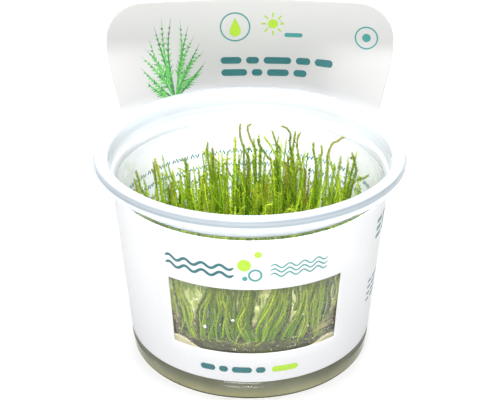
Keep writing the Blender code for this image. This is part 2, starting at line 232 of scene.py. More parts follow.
def cloud_mask(tree, scale, low=0.35, high=0.65):
    return group_output(tree, CLOUD, Scale=scale, Low=low, High=high)


def height_mask(tree, low_mm, high_mm):
    return group_output(tree, HEIGHT, Low=low_mm * MM, High=high_mm * MM)


def surface_tooth(tree, shader, scale, strength, depth):
    normal = group_output(tree, TOOTH, Scale=scale, Strength=strength, Depth=depth)
    tree.links.new(normal, shader.inputs["Normal"])


def mix_color(tree, mask, first, second):
    """A colour between two, by a mask. Each may be a plain colour or another node's socket."""
    node = add_node(tree, "ShaderNodeMix", data_type="RGBA")
    for socket, color in ((node.inputs[6], first), (node.inputs[7], second)):
        if isinstance(color, tuple):
            socket.default_value = (*color, 1.0)
        else:
            tree.links.new(color, socket)
    tree.links.new(mask, node.inputs[0])
    return node.outputs[2]


def mix_value(tree, mask, first, second):
    node = add_node(tree, "ShaderNodeMapRange", To_Min=first, To_Max=second)
    tree.links.new(mask, node.inputs["Value"])
    return node.outputs["Result"]


def mottled_material(name, scale, first, second, **plain_values):
    """A material of two tones that meet in a cloudy pattern."""
    material, tree, shader = start_material(name, **plain_values)
    tree.links.new(mix_color(tree, cloud_mask(tree, scale), first, second), shader.inputs["Base Color"])
    return material


# %% [markdown]
# ## Finishes
#
# The cup is polypropylene: clear in its thin wall and milky at the thick ledge and rim. Its milky parts carry
# faint level streaks of painted shade between their two tones, and the upright face of the skirt has a greyer
# copy of the milky finish, which is painted shade. The card is coated on both sides, with a fine tooth and a
# faint mottle. Its tag is greyer than the sleeve, most of all at its foot, which is painted shade, and the
# card is thin enough to let some light glow through. The gel is cloudy, between clear and solid, and darkest
# half way up, which is painted shade from the sleeve. Its paler top is painted light. The inks are flat
# colours that take the card's sheen.

# %% Light through thin pieces
def second_shader(tree, shader, other, share):
    """Mixes another shader with the main one, by a plain share or by a socket."""
    mix = add_node(tree, "ShaderNodeMixShader")
    if isinstance(share, float):
        mix.inputs["Fac"].default_value = share
    else:
        tree.links.new(share, mix.inputs["Fac"])
    tree.links.new(shader.outputs["BSDF"], mix.inputs[1])
    tree.links.new(other.outputs["BSDF"], mix.inputs[2])
    tree.links.new(mix.outputs["Shader"], tree.nodes["Material Output"].inputs["Surface"])


def let_lamps_through(tree, shader, tint):
    """Lets rays from the lamps pass straight through glass, so that what is inside is lit."""
    path = add_node(tree, "ShaderNodeLightPath")
    clear = add_node(tree, "ShaderNodeBsdfTransparent", Color=(*tint, 1.0))
    second_shader(tree, shader, clear, path.outputs["Is Shadow Ray"])


def glow_through(tree, shader, share, color):
    """Lets a share of the light through as a soft glow, as thin card and thin leaves do."""
    glow = add_node(tree, "ShaderNodeBsdfTranslucent")
    tree.links.new(color, glow.inputs["Color"])
    second_shader(tree, shader, glow, share)


# %% Cup plastic
# painted shade: faint level streaks between the pale and the grey tone of the milky plastic
SHADE_STREAKS = {"Scales": (8.0, 8.0, 1100.0), "Detail": 1.0}


def plastic_surface(tree, shader, smooth, rough, tint):
    """What clear and milky plastic share: a haze between two roughnesses, and a soft unevenness."""
    tree.links.new(mix_value(tree, cloud_mask(tree, 60.0), smooth, rough), shader.inputs["Roughness"])
    surface_tooth(tree, shader, 260.0, 0.05, 0.0004)
    let_lamps_through(tree, shader, tint)


def make_clear_plastic():
    material, tree, shader = start_material(
        "clear_plastic", Base_Color=(0.97, 0.98, 0.98, 1.0), IOR=1.49, Transmission_Weight=1.0,
        Specular_IOR_Level=0.12
    )
    plastic_surface(tree, shader, 0.015, 0.04, (0.97, 0.975, 0.98))
    return material


def make_milky_plastic(name, pale, grey, clearness):
    """Thick polypropylene, with faint level streaks of painted shade between its two tones."""
    material, tree, shader = start_material(name, IOR=1.49, Transmission_Weight=clearness)
    lines = group_output(tree, STREAKS, **SHADE_STREAKS)
    tree.links.new(mix_color(tree, lines, pale, grey), shader.inputs["Base Color"])
    plastic_surface(tree, shader, 0.16, 0.24, (0.8, 0.82, 0.85))
    return material


clear_plastic = make_clear_plastic()
milky_plastic = make_milky_plastic("milky_rim", (0.81, 0.835, 0.855), (0.69, 0.725, 0.755), 0.6)
# painted shade: a greyer copy of the milky finish, for the upright face of the skirt
shaded_skirt = make_milky_plastic("shaded_skirt", (0.43, 0.475, 0.51), (0.33, 0.375, 0.415), 0.3)

# %% Card and inks
def make_white_card():
    """White on the sleeve, and greyer on the tag, most of all at its foot, which is painted shade."""
    material, tree, shader = start_material(
        "white_card", Roughness=0.42, Coat_Weight=0.15, Coat_Roughness=0.3
    )
    mottle = cloud_mask(tree, 900.0, 0.3, 0.7)
    sleeve = mix_color(tree, mottle, (0.88, 0.885, 0.90), (0.92, 0.925, 0.94))
    # painted shade: the tag is the same card as the sleeve, made greyer towards its foot
    tag = mix_color(tree, height_mask(tree, 74.0, 102.0), (0.60, 0.60, 0.595), (0.80, 0.80, 0.79))
    upper = height_mask(tree, 66.0, 72.0)
    tree.links.new(mix_color(tree, upper, sleeve, tag), shader.inputs["Base Color"])
    surface_tooth(tree, shader, 5200.0, 0.12, 0.00005)
    # the light that glows through the tag is greyer too, as painted shade
    glow_through(tree, shader, 0.38, mix_color(tree, upper, (0.94, 0.945, 0.95), (0.72, 0.72, 0.715)))
    return material


def make_ink(name, color, darker):
    return mottled_material(name, 1500.0, color, darker, Roughness=0.4)


white_card = make_white_card()
ink_teal = make_ink("ink_teal", (0.030, 0.155, 0.165), (0.024, 0.125, 0.135))
ink_sea = make_ink("ink_sea", (0.060, 0.300, 0.290), (0.050, 0.260, 0.250))
ink_deep = make_ink("ink_deep", (0.004, 0.160, 0.165), (0.003, 0.125, 0.130))
ink_lime = make_ink("ink_lime", (0.410, 0.640, 0.040), (0.350, 0.580, 0.030))
ink_leaf = make_ink("ink_leaf", (0.060, 0.270, 0.080), (0.035, 0.170, 0.060))
ink_pale = make_ink("ink_pale", (0.150, 0.480, 0.110), (0.100, 0.380, 0.070))

# %% Gel
def make_agar_gel():
    """Yellowish at its foot, dark and greenish half way up, which is painted shade from the sleeve, and paler
    at its top, which is painted light.
    """
    material, tree, shader = start_material(
        "agar_gel", Roughness=0.28, IOR=1.35, Transmission_Weight=0.3, Subsurface_Weight=0.2,
        Subsurface_Radius=(0.004, 0.0035, 0.002)
    )
    cloudy = cloud_mask(tree, 70.0, 0.3, 0.7)
    foot = mix_color(tree, cloudy, (0.43, 0.415, 0.20), (0.54, 0.525, 0.285))
    # painted shade: the dark band under the edge of the card sleeve
    painted_shade_band = mix_color(tree, cloudy, (0.20, 0.205, 0.13), (0.275, 0.28, 0.185))
    # painted light: the top is made paler to lift the shade that it lies in
    top = mix_color(tree, cloudy, (0.80, 0.72, 0.44), (0.92, 0.86, 0.60))
    lower = mix_color(tree, height_mask(tree, 0.3, 4.4), foot, painted_shade_band)
    tree.links.new(mix_color(tree, height_mask(tree, 14.0, 18.0), lower, top), shader.inputs["Base Color"])
    surface_tooth(tree, shader, 500.0, 0.2, 0.0003)
    return material


agar_gel = make_agar_gel()

# %% [markdown]
# ## Drawing turned pieces
#
# The cup and the gel are round about one axis, so each could be made by spinning an outline. Here the outline
# is followed ring by ring instead: a circle is added at the first point, then its edge is extruded and scaled
# to each next point. The corners of the outline are eased first, because moulded plastic has no sharp edge.

# %% Turned pieces
SIDES = 192
CORE_RADIUS = 2.0    # mm, of the small disc that closes a turned piece at its axis


def deselect_all():
    if bpy.context.object and bpy.context.object.mode != "OBJECT":
        bpy.ops.object.mode_set(mode="OBJECT")
    bpy.ops.object.select_all(action="DESELECT")


def open_whole(piece):
    """Opens a piece in edit mode, with all of its mesh selected."""
    deselect_all()
    piece.select_set(True)
    bpy.context.view_layer.objects.active = piece
    bpy.ops.object.mode_set(mode="EDIT")
    bpy.ops.mesh.select_all(action="SELECT")


def ease_corners(outline, radius, steps=3):
    """Replaces each inner corner of an outline by a short curve."""
    eased = [outline[0]]
    for before, corner, after in zip(outline, outline[1:], outline[2:]):
        corner = Vector(corner)
        arms = []
        for other in (Vector(before), Vector(after)):
            arm = other - corner
            arms.append(corner + arm * min(0.45, radius / max(arm.length, 1e-6)))
        for i in range(steps + 1):
            t = i / steps
            point = arms[0] * (1 - t) ** 2 + corner * 2 * t * (1 - t) + arms[1] * t**2
            eased.append(tuple(point))
    eased.append(outline[-1])
    return eased


def turned_piece(name, outline, material, sharp_deg=40):
    """A closed turned solid from (radius, height) points in mm: bottom middle, outside, then inside."""
    deselect_all()
    (radius, height), rest = outline[0], outline[1:]
    bpy.ops.mesh.primitive_circle_add(vertices=SIDES, radius=radius * MM, fill_type="NGON")
    piece = bpy.context.object
    piece.name = name
    open_whole(piece)
    bpy.ops.transform.translate(value=(0, 0, height * MM))
    for next_radius, next_height in rest:
        rise = (0, 0, (next_height - height) * MM)
        bpy.ops.mesh.extrude_region_move(TRANSFORM_OT_translate={"value": rise})
        share = next_radius / radius
        bpy.ops.transform.resize(value=(share, share, 1), center_override=(0, 0, next_height * MM))
        radius, height = next_radius, next_height
    bpy.ops.mesh.select_all(action="SELECT")
    bpy.ops.mesh.normals_make_consistent(inside=False)
    bpy.ops.object.mode_set(mode="OBJECT")
    bpy.ops.object.shade_smooth_by_angle(angle=math.radians(sharp_deg))
    piece.data.materials.append(material)
    print(name, "has", len(piece.data.polygons), "faces")
    return piece


# %% [markdown]
# ## The cup
#
# One clear moulding: a slightly conical wall on a plain foot, a raised band just under the card, then a
# ledge, a wide mouth, a flat land round it and a skirt that hangs from the land and ends in a small lip. The
# numbers are the cup's own sizes in millimetres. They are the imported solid's, but the floor and the foot's
# wall are thinner here, because a thick foot bends the light into a dark band.

# %% Cup sizes
WALL = 0.85
FLOOR_THICK = 0.3
FOOT_RADIUS = 39.8
FOOT_INNER = 39.3
BAND_RADIUS = 40.3
BAND_LOW = 4.2
BAND_HIGH = 6.3
LEDGE_HEIGHT = 62.2
LEDGE_RADIUS = 45.6
MOUTH_RADIUS = 46.8
RIM_RADIUS = 50.0
RIM_TOP = 70.3
LIP_RADIUS = 50.5
LIP_LOW = 66.3
SKIRT_THICK = 0.75
EASE = 0.3    # how far a corner of the cup is rounded
CARD = 0.4
SLEEVE_LOW = 7.0
SLEEVE_TOP = 60.5
SLEEVE_LOW_RADIUS = 40.36
SLEEVE_TOP_RADIUS = 44.8
CARD_TO_CUP = 0.34


def card_radius(height):
    """Outer radius of the card sleeve at a height."""
    share = (height - SLEEVE_LOW) / (SLEEVE_TOP - SLEEVE_LOW)
    return SLEEVE_LOW_RADIUS + (SLEEVE_TOP_RADIUS - SLEEVE_LOW_RADIUS) * share


def wall_outer(height):
    return card_radius(height) - CARD - CARD_TO_CUP


def wall_inner(height):
    return wall_outer(height) - WALL


def smooth_step(value, low, high):
    t = min(1.0, max(0.0, (value - low) / (high - low)))
    return t * t * (3 - 2 * t)


# %% Cup shell
def cup_outline():
    """From the middle of the underside, up the outside, over the rim and down the inside."""
    skirt_in = RIM_RADIUS - SKIRT_THICK
    ledge_in = LEDGE_RADIUS - WALL
    outside = [
        (CORE_RADIUS, 0.0),
        (FOOT_RADIUS - EASE, 0.0),
        (FOOT_RADIUS, EASE),
        (FOOT_RADIUS, BAND_LOW - 0.4),
        (FOOT_RADIUS - 0.35, BAND_LOW - 0.15),
        (BAND_RADIUS, BAND_LOW + 0.15),
        (BAND_RADIUS, BAND_LOW + 0.5),
        (BAND_RADIUS - 0.45, BAND_LOW + 0.85),
        (BAND_RADIUS, BAND_LOW + 1.3),
        (BAND_RADIUS, BAND_HIGH - 0.4),
        (BAND_RADIUS - 0.3, BAND_HIGH),
        (wall_outer(BAND_HIGH + 0.4), BAND_HIGH + 0.4),
        (wall_outer(LEDGE_HEIGHT - 0.9), LEDGE_HEIGHT - 0.7),
        (wall_outer(LEDGE_HEIGHT - 0.4) + 0.3, LEDGE_HEIGHT - 0.1),
        (LEDGE_RADIUS, LEDGE_HEIGHT + 0.4),
        (LEDGE_RADIUS + 0.35, RIM_TOP - 2.4),
        (MOUTH_RADIUS + 0.1, RIM_TOP - 0.95),
        (skirt_in - 0.6, RIM_TOP - 0.85),
        (skirt_in - 0.05, RIM_TOP - 1.3),
        (skirt_in, LIP_LOW),
        (LIP_RADIUS - 0.2, LIP_LOW),
        (LIP_RADIUS, LIP_LOW + 0.2),
        (LIP_RADIUS, LIP_LOW + 0.9),
        (RIM_RADIUS, LIP_LOW + 1.2),
        (RIM_RADIUS, RIM_TOP - 0.8),
        (RIM_RADIUS - 0.15, RIM_TOP - 0.25),
        (RIM_RADIUS - 0.7, RIM_TOP),
    ]
    inside = [
        (MOUTH_RADIUS, RIM_TOP),
        (MOUTH_RADIUS - 0.4, RIM_TOP - 0.4),
        (MOUTH_RADIUS - 1.1, RIM_TOP - 1.5),
        (ledge_in + 0.25, LIP_LOW + 0.8),
        (ledge_in, LEDGE_HEIGHT + 0.5),
        (wall_inner(LEDGE_HEIGHT - 1.0), LEDGE_HEIGHT - 1.0),
        (wall_inner(SLEEVE_TOP - 0.6), SLEEVE_TOP - 0.6),
        (wall_inner(BAND_HIGH), BAND_HIGH),
        (FOOT_INNER, BAND_LOW - 0.6),
        (FOOT_INNER, FLOOR_THICK + EASE),
        (FOOT_INNER - EASE, FLOOR_THICK),
        (CORE_RADIUS, FLOOR_THICK),
    ]
    return ease_corners(outside + inside, EASE)


cup = turned_piece("clear_cup", cup_outline(), clear_plastic)
cup.data.materials.append(milky_plastic)
cup.data.materials.append(shaded_skirt)

# %% Cup finishes
CLEAR, MILKY, SKIRT_SHADE = range(3)    # the cup's material slots
MILKY_ABOVE = LEDGE_HEIGHT - 0.75    # on the outer side, and on the inner side at the front
MILKY_ABOVE_INSIDE = SLEEVE_TOP - 0.6    # on the rest of the inner side
FRONT_LINE = -20.0    # mm, what lies further to the front counts as the front


def cup_finish(face):
    """Clear for the wall, milky for the ledge and the rim, and the greyer copy with painted shade for the
    skirt's outer face.
    """
    height = face.center.z / MM
    faces_out = face.normal.xy.dot(face.center.xy) > 0
    upright = faces_out and abs(face.normal.z) < 0.5 and face.center.xy.length > (RIM_RADIUS - 0.5) * MM
    if upright and LIP_LOW + 1.1 < height < RIM_TOP - 0.4:
        return SKIRT_SHADE
    milky_above = MILKY_ABOVE if faces_out or face.center.y < FRONT_LINE * MM else MILKY_ABOVE_INSIDE
    return MILKY if height > milky_above else CLEAR


for face in cup.data.polygons:
    face.material_index = cup_finish(face)
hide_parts("cup")
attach(cup, "root")

# %% [markdown]
# ## The gel
#
# The gel fills the foot of the cup, with a thin rim of it crept up the wall. Its top is not level. It dips
# and swells by a few tenths of a millimetre, its edge is pressed down where the felt lies on it behind the
# window, and it stands higher at the window's two lower corners, where no moss covers it. So it is turned
# first, and then its upper points are moved a little by noise and by their place round the cup.

# %% Gel body
GEL_TOP = 18.0
MENISCUS = 0.3
WETTING = 0.02


def gel_outline():
    edge = GEL_TOP + MENISCUS
    foot = FOOT_INNER + WETTING
    low = FLOOR_THICK - WETTING
    inner_rings = [(wall_inner(GEL_TOP) - 3.2 - 4.0 * i, GEL_TOP) for i in range(8)]
    return [
        (CORE_RADIUS, low),
        (foot - EASE, low),
        (foot, low + EASE),
        (foot, BAND_LOW - 0.6),
        (wall_inner(BAND_HIGH) + WETTING, BAND_HIGH),
        (wall_inner(edge) + WETTING, edge - 0.2),
        (wall_inner(edge) - 0.2, edge),
        (wall_inner(edge) - 1.2, GEL_TOP + 0.05),
        *inner_rings,
        (CORE_RADIUS, GEL_TOP),
    ]


gel = turned_piece("agar_layer", ease_corners(gel_outline(), 0.5, 2), agar_gel)

# %% Gel surface
BANKS = ((-34.0, 7.0, 2.0), (38.0, 5.0, 1.2))    # place and spread in degrees from the front, height in mm
DIP = 1.0    # mm, how far the gel's edge sinks where the felt presses on it
DIP_SPAN_DEG = (-26.0, 32.0)
DIP_EASE_DEG = 5
RIPPLE = 0.35    # mm
RIPPLE_RATE = 160    # per metre
RIPPLE_RADIUS = 37.5    # mm, the gel ripples inside this radius


def degrees_from_front(co):
    """How far round the axis a point lies from the front, towards +X."""
    return math.degrees(math.atan2(co.x, -co.y))


def near_wall(co, far, close=0.0):
    """0 further from the cup's wall than one distance in mm, and 1 closer to it than another."""
    wall = wall_inner(GEL_TOP)
    return smooth_step(co.xy.length / MM, wall - far, wall - close)


def felt_dip(co):
    """How far the edge of the gel and the felt on it sink below their usual height, in mm."""
    turn, ease = degrees_from_front(co), DIP_EASE_DEG
    low, high = DIP_SPAN_DEG
    return DIP * smooth_step(turn, low - ease, low + ease) * (1 - smooth_step(turn, high - ease, high + ease))


def gel_bank(co):
    """How high the gel has crept up the wall, at the two places where no moss covers it."""
    turn = degrees_from_front(co)
    banked = sum(high * math.exp(-(((turn - place) / spread) ** 2)) for place, spread, high in BANKS)
    return near_wall(co, 3.0) * banked


for vert in gel.data.vertices:
    if vert.co.z > (GEL_TOP - 0.5) * MM:
        if vert.co.xy.length < RIPPLE_RADIUS * MM:
            vert.co.z += RIPPLE * MM * noise.noise(vert.co * RIPPLE_RATE) - 0.1 * MM
        raised = vert.co.z / MM + gel_bank(vert.co) - near_wall(vert.co, 2.5, 0.6) * felt_dip(vert.co)
        vert.co.xy *= wall_inner(raised) / wall_inner(vert.co.z / MM)
        vert.co.z = raised * MM
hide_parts("gel")
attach(gel, "root")

# %% [markdown]
# ## The card
#
# On the real label everything is one die-cut sheet: it is printed and cut flat, then bent. It is made the
# same way here. A grid lies flat, with its lines moved to the cutter's lines. The window, the space between
# the legs and all that lies outside the outline is deleted. The flat places are kept as a UV map, and then
# every point is moved to its bent place by a formula, and the sheet gets its thickness.

# %% Card sizes
WINDOW_LOW = 18.2
WINDOW_HIGH = 42.9
WINDOW_LEFT_DEG = 35.5
WINDOW_RIGHT_DEG = 40.5
LEG_LEFT = 32.2
LEG_RIGHT = 33.9
LEG_OUTER = 51.5
TAG_TOP = 101.8
TAG_HALF = 50.1
TAG_CORNER = 12.5
TAG_BACK = 51.3
TAG_CURVE_RADIUS = 180.0
CUTOUT_TOP = 67.3
TONGUE_LEFT = 7.8
TONGUE_RIGHT = 9.6
TONGUE_LOW = 64.9
CORNER_STEPS = 18
CARD_STEP = 1.3
SLEEVE_MIDDLE_RADIUS = SLEEVE_TOP_RADIUS - CARD / 2
# The flat sheet is measured across from the middle of the back, so the front is at both of its ends.
FRONT_ACROSS = math.pi * SLEEVE_MIDDLE_RADIUS
WINDOW_LEFT = FRONT_ACROSS - math.radians(WINDOW_LEFT_DEG) * SLEEVE_MIDDLE_RADIUS
WINDOW_RIGHT = FRONT_ACROSS - math.radians(WINDOW_RIGHT_DEG) * SLEEVE_MIDDLE_RADIUS
# Between these places across, the upright card goes over from flat to following the cup.
HUG_FROM = 14.0
HUG_TO = 31.0


def tag_half_width(height):
    """Half the tag's width: slightly tapered sides, then a quarter circle at each top corner."""
    above = height - (TAG_TOP - TAG_CORNER)
    if above > 0:
        return TAG_HALF - TAG_CORNER + math.sqrt(max(0.0, TAG_CORNER**2 - above**2))
    share = (height - CUTOUT_TOP) / (TAG_TOP - TAG_CORNER - CUTOUT_TOP)
    return LEG_OUTER + (TAG_HALF - LEG_OUTER) * max(0.0, share)


def tag_place(across, height):
    """A point of the upright card, in mm. across runs from the middle of the back towards +X."""
    out = smooth_step(height, SLEEVE_TOP - 0.6, LIP_LOW - 1.6)
    hug = SLEEVE_MIDDLE_RADIUS + (TAG_BACK - SLEEVE_MIDDLE_RADIUS) * out
    turn, flat_turn = across / hug, across / TAG_CURVE_RADIUS
    hugging = Vector((hug * math.sin(turn), hug * math.cos(turn)))
    sag = TAG_CURVE_RADIUS * (1 - math.cos(flat_turn))
    flat = Vector((TAG_CURVE_RADIUS * math.sin(flat_turn), TAG_BACK - sag))
    opened = smooth_step(height, LIP_LOW - 1.7, TAG_TOP - 13.0)
    held = smooth_step(abs(across), HUG_FROM, HUG_TO)
    xy = hugging.lerp(flat, 1 - (1 - opened) * held)
    return Vector((xy.x, xy.y, height))


def sleeve_place(across, height):
    """A point of the sleeve, in mm. across is measured round its top edge from the middle of the back."""
    radius = card_radius(height) - CARD / 2
    turn = across / SLEEVE_MIDDLE_RADIUS
    return Vector((radius * math.sin(turn), radius * math.cos(turn), height))


def card_place(across, height):
    return tag_place(across, height) if height > SLEEVE_TOP else sleeve_place(across, height)


# %% Card sheet
def cut_lines(breaks, step):
    """The cutter's lines, with more lines between them no further apart than a step."""
    lines = []
    for low, high in zip(breaks, breaks[1:]):
        count = max(1, math.ceil((high - low) / step))
        lines += [low + (high - low) * i / count for i in range(count)]
    return lines + [breaks[-1]]


def is_card(across, height):
    """Whether a flat place is card: the sleeve without its window, the legs, the tag or the tongue."""
    if height < SLEEVE_TOP:
        in_window = across > WINDOW_RIGHT or across < -WINDOW_LEFT
        return not (in_window and WINDOW_LOW < height < WINDOW_HIGH)
    if abs(across) > LEG_OUTER:
        return False
    if height > CUTOUT_TOP:
        return True
    on_tongue = -TONGUE_LEFT < across < TONGUE_RIGHT and height > TONGUE_LOW
    return on_tongue or across < -LEG_LEFT or across > LEG_RIGHT


def select_faces(piece, wanted):
    """Selects the faces that pass a test, and nothing else, and stays in edit mode."""
    bpy.ops.object.mode_set(mode="EDIT")
    bpy.ops.mesh.select_mode(type="FACE")
    bpy.ops.mesh.select_all(action="DESELECT")
    bpy.ops.object.mode_set(mode="OBJECT")
    for face in piece.data.polygons:
        face.select = wanted(face)
    bpy.ops.object.mode_set(mode="EDIT")


def make_card():
    across_breaks = [-FRONT_ACROSS, -WINDOW_LEFT, -LEG_OUTER, -LEG_LEFT, -TONGUE_LEFT]
    across_breaks += [TONGUE_RIGHT, LEG_RIGHT, LEG_OUTER, WINDOW_RIGHT, FRONT_ACROSS]
    across_lines = cut_lines(across_breaks, CARD_STEP)
    corner_low = TAG_TOP - TAG_CORNER
    height_breaks = [SLEEVE_LOW, WINDOW_LOW, WINDOW_HIGH, SLEEVE_TOP, TONGUE_LOW, CUTOUT_TOP, corner_low]
    corner_turns = [math.radians(90 * i / CORNER_STEPS) for i in range(1, CORNER_STEPS + 1)]
    height_lines = cut_lines(height_breaks, CARD_STEP)
    height_lines += [corner_low + TAG_CORNER * math.sin(turn) for turn in corner_turns]
    deselect_all()
    columns, rows = len(across_lines), len(height_lines)
    bpy.ops.mesh.primitive_grid_add(x_subdivisions=columns - 1, y_subdivisions=rows - 1, size=1.0)
    sheet = bpy.context.object
    sheet.name = "card_label"
    for i, vert in enumerate(sheet.data.vertices):
        vert.co = (across_lines[i % columns], height_lines[i // columns], 0.0)
    select_faces(sheet, lambda face: not is_card(face.center.x, face.center.y))
    bpy.ops.mesh.delete(type="FACE")
    bpy.ops.object.mode_set(mode="OBJECT")
    flat_map = sheet.data.uv_layers.active or sheet.data.uv_layers.new(name="flat_sheet")
    for loop in sheet.data.loops:
        flat = sheet.data.vertices[loop.vertex_index].co
        flat_map.data[loop.index].uv = (flat.x / (2 * FRONT_ACROSS) + 0.5, flat.y / (2 * FRONT_ACROSS))
    for vert in sheet.data.vertices:
        across, height = vert.co.x, vert.co.y
        if height > CUTOUT_TOP:
            across *= tag_half_width(height) / LEG_OUTER
        vert.co = card_place(across, height) * MM
    return sheet


def merge_doubles(piece, apart):
    """Merges the points of a piece that lie closer together than a distance in metres."""
    open_whole(piece)
    bpy.ops.mesh.remove_doubles(threshold=apart)
    bpy.ops.object.mode_set(mode="OBJECT")


def turn_outwards(piece):
    """Makes the faces of a piece point outwards."""
    open_whole(piece)
    bpy.ops.mesh.normals_make_consistent(inside=False)
    bpy.ops.object.mode_set(mode="OBJECT")


def thicken(piece, thickness, even=True):
    """Gives a sheet its thickness, half to each side, and applies it."""
    wall = piece.modifiers.new("thickness", "SOLIDIFY")
    wall.thickness = thickness * MM
    wall.offset = 0.0
    wall.use_even_offset = even
    bpy.context.view_layer.objects.active = piece
    bpy.ops.object.modifier_apply(modifier=wall.name)


card = make_card()
merge_doubles(card, 1e-6)
turn_outwards(card)
thicken(card, CARD)
bpy.ops.object.shade_smooth_by_angle(angle=math.radians(35))
card.data.materials.append(white_card)
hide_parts("label")
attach(card, "root")
print("card faces:", len(card.data.polygons))

# %% [markdown]
# ## The print
#
# Printed marks are thin: a film of ink on the card. Each mark here is a ribbon, that is a path with a width
# at every point. A bar, a ring, a drop, a wave and a frond are all ribbons. They are laid out flat, in the
# same flat places as the card, and bent by the same formula, so they follow the card exactly. The layout is a
# plain one of waves, bubbles, bars and a fan of fronds: it gives the label its colours and its busyness, and
# it spells nothing.

# %% Ribbons
INK_THICK = 0.03
INK_MIDDLE = 0.015 + INK_THICK / 2    # how far the middle of the film stands off the card
RIBBON_ACROSS = 4
BLADE_STEPS = 14


def line_path(start, end, step):
    start, end = np.array(start), np.array(end)
    count = max(2, math.ceil(math.dist(start, end) / step) + 1)
    return [tuple(start + (end - start) * i / (count - 1)) for i in range(count)]


def bar(start, length, height):
    """A bar with round ends that runs to the right."""
    path = line_path(start, (start[0] + length, start[1]), 0.25)
    half = height / 2
    widths = []
    for x, _ in path:
        from_end = min(x - start[0], start[0] + length - x)
        inset = max(0.0, half - from_end)
        widths.append(2 * math.sqrt(max(half**2 - inset**2, 0.01)))
    return path, widths


def bar_row(start, lengths, gap, height):
    """A row of bars of different lengths."""
    row, x = [], start[0]
    for length in lengths:
        row.append(bar((x, start[1]), length, height))
        x += length + gap
    return row


def disc(center, radius):
    turns = [math.radians(a) for a in range(0, 181, 12)]
    path = [(center[0] - radius * math.cos(turn), center[1]) for turn in turns]
    return path, [max(0.05, 2 * radius * math.sin(turn)) for turn in turns]


def ring(center, radius, line):
    turns = [math.radians(a) for a in range(0, 361, 8)]
    path = [(center[0] + radius * math.cos(turn), center[1] + radius * math.sin(turn)) for turn in turns]
    return path, [line] * len(path)


def drop(foot, height, width):
    """A drop: it swells just above its round foot and ends in a point."""
    steps = [i / 16 for i in range(17)]
    path = [(foot[0], foot[1] + height * t) for t in steps]
    return path, [max(0.08, width * math.sin(math.pi * t**0.62) * (1 - 0.45 * t)) for t in steps]


def wave(start, length, swing, period, line):
    count = math.ceil(length / 0.5) + 1
    path = []
    for i in range(count):
        x = length * i / (count - 1)
        path.append((start[0] + x, start[1] + swing * math.sin(FULL_TURN * x / period)))
    widths = [line * min(1.0, 0.35 + 0.4 * min(i, count - 1 - i)) for i in range(count)]
    return path, widths


def blade(foot, tip, bow, width):
    """A frond: a bowed path that is widest a third of the way up and ends in a point."""
    foot, tip = Vector(foot), Vector(tip)
    side = (tip - foot).orthogonal().normalized()
    path, widths = [], []
    for i in range(BLADE_STEPS + 1):
        t = i / BLADE_STEPS
        path.append(tuple(foot.lerp(tip, t) + side * bow * math.sin(math.pi * t)))
        widths.append(0.06 + width * math.sin(math.pi * min(1.0, t**0.6)) * (1 - 0.4 * t))
    return path, widths


# %% Films of ink
def ribbon_mesh(name, ribbons, place):
    """One mesh of many flat ribbons, with each point bent to its place."""
    verts, faces = [], []
    for path, widths in ribbons:
        first, last = len(verts), len(path) - 1
        closed = math.dist(path[0], path[-1]) < 1e-6
        for i, (point, width) in enumerate(zip(path, widths)):
            if closed:
                ahead = Vector(path[(i + 1) % last]) - Vector(path[(i - 1) % last])
            else:
                ahead = Vector(path[min(i + 1, last)]) - Vector(path[max(i - 1, 0)])
            side = Vector((-ahead.y, ahead.x)).normalized()
            for k in range(RIBBON_ACROSS + 1):
                flat = Vector(point) + side * width * (k / RIBBON_ACROSS - 0.5)
                verts.append(place(flat.x, flat.y) * MM)
        for i in range(last):
            for k in range(RIBBON_ACROSS):
                a = first + i * (RIBBON_ACROSS + 1) + k
                b = a + RIBBON_ACROSS + 1
                faces.append((a, b, b + 1, a + 1))
    mesh = bpy.data.meshes.new(name)
    mesh.from_pydata(verts, [], faces)
    return mesh


def piece_of(mesh, material):
    """Puts a mesh in the scene as a piece of its own name, with its material."""
    mesh.materials.append(material)
    piece = bpy.data.objects.new(mesh.name, mesh)
    bpy.context.scene.collection.objects.link(piece)
    return piece


def print_marks(name, ribbons, material, place):
    """Makes one film of ink from many ribbons. place gives the film's middle for a flat place."""
    piece = piece_of(ribbon_mesh(name, ribbons, place), material)
    merge_doubles(piece, 1e-7)
    thicken(piece, INK_THICK, even=False)
    turn_outwards(piece)
    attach(piece, "root")


# %% Printed sides of the card
def on_tag_front(across, height):
    """On the side of the tag that faces the cup."""
    here = tag_place(across, height)
    sideways = tag_place(across + 0.2, height) - here
    upwards = tag_place(across, height + 0.2) - here
    normal = sideways.cross(upwards).normalized()
    if normal.y > 0:
        normal.negate()
    return here + normal * (CARD / 2 + INK_MIDDLE)


def round_axis(radius, turn, height):
    """A point round the axis. turn runs from the middle of the back towards +X, in radians."""
    return Vector((radius * math.sin(turn), radius * math.cos(turn), height))


def on_sleeve_front(across, height):
    """On the outside of the sleeve. across runs from the middle of the front towards +X."""
    return round_axis(card_radius(height) + INK_MIDDLE, math.pi - across / SLEEVE_TOP_RADIUS, height)


def inside_back(across, height):
    """On the inner side of the sleeve. across runs from the middle of the back towards +X."""
    return round_axis(card_radius(height) - CARD - INK_MIDDLE, across / SLEEVE_TOP_RADIUS, height)


# %% Marks on the tag
FAN_FOOT = (-27.5, 67.1)
FAN_FRONDS = 15
FAN_LEAN = 62    # degrees, of the outermost fronds
BLADE_TURN = math.radians(38)    # of a side blade from its frond


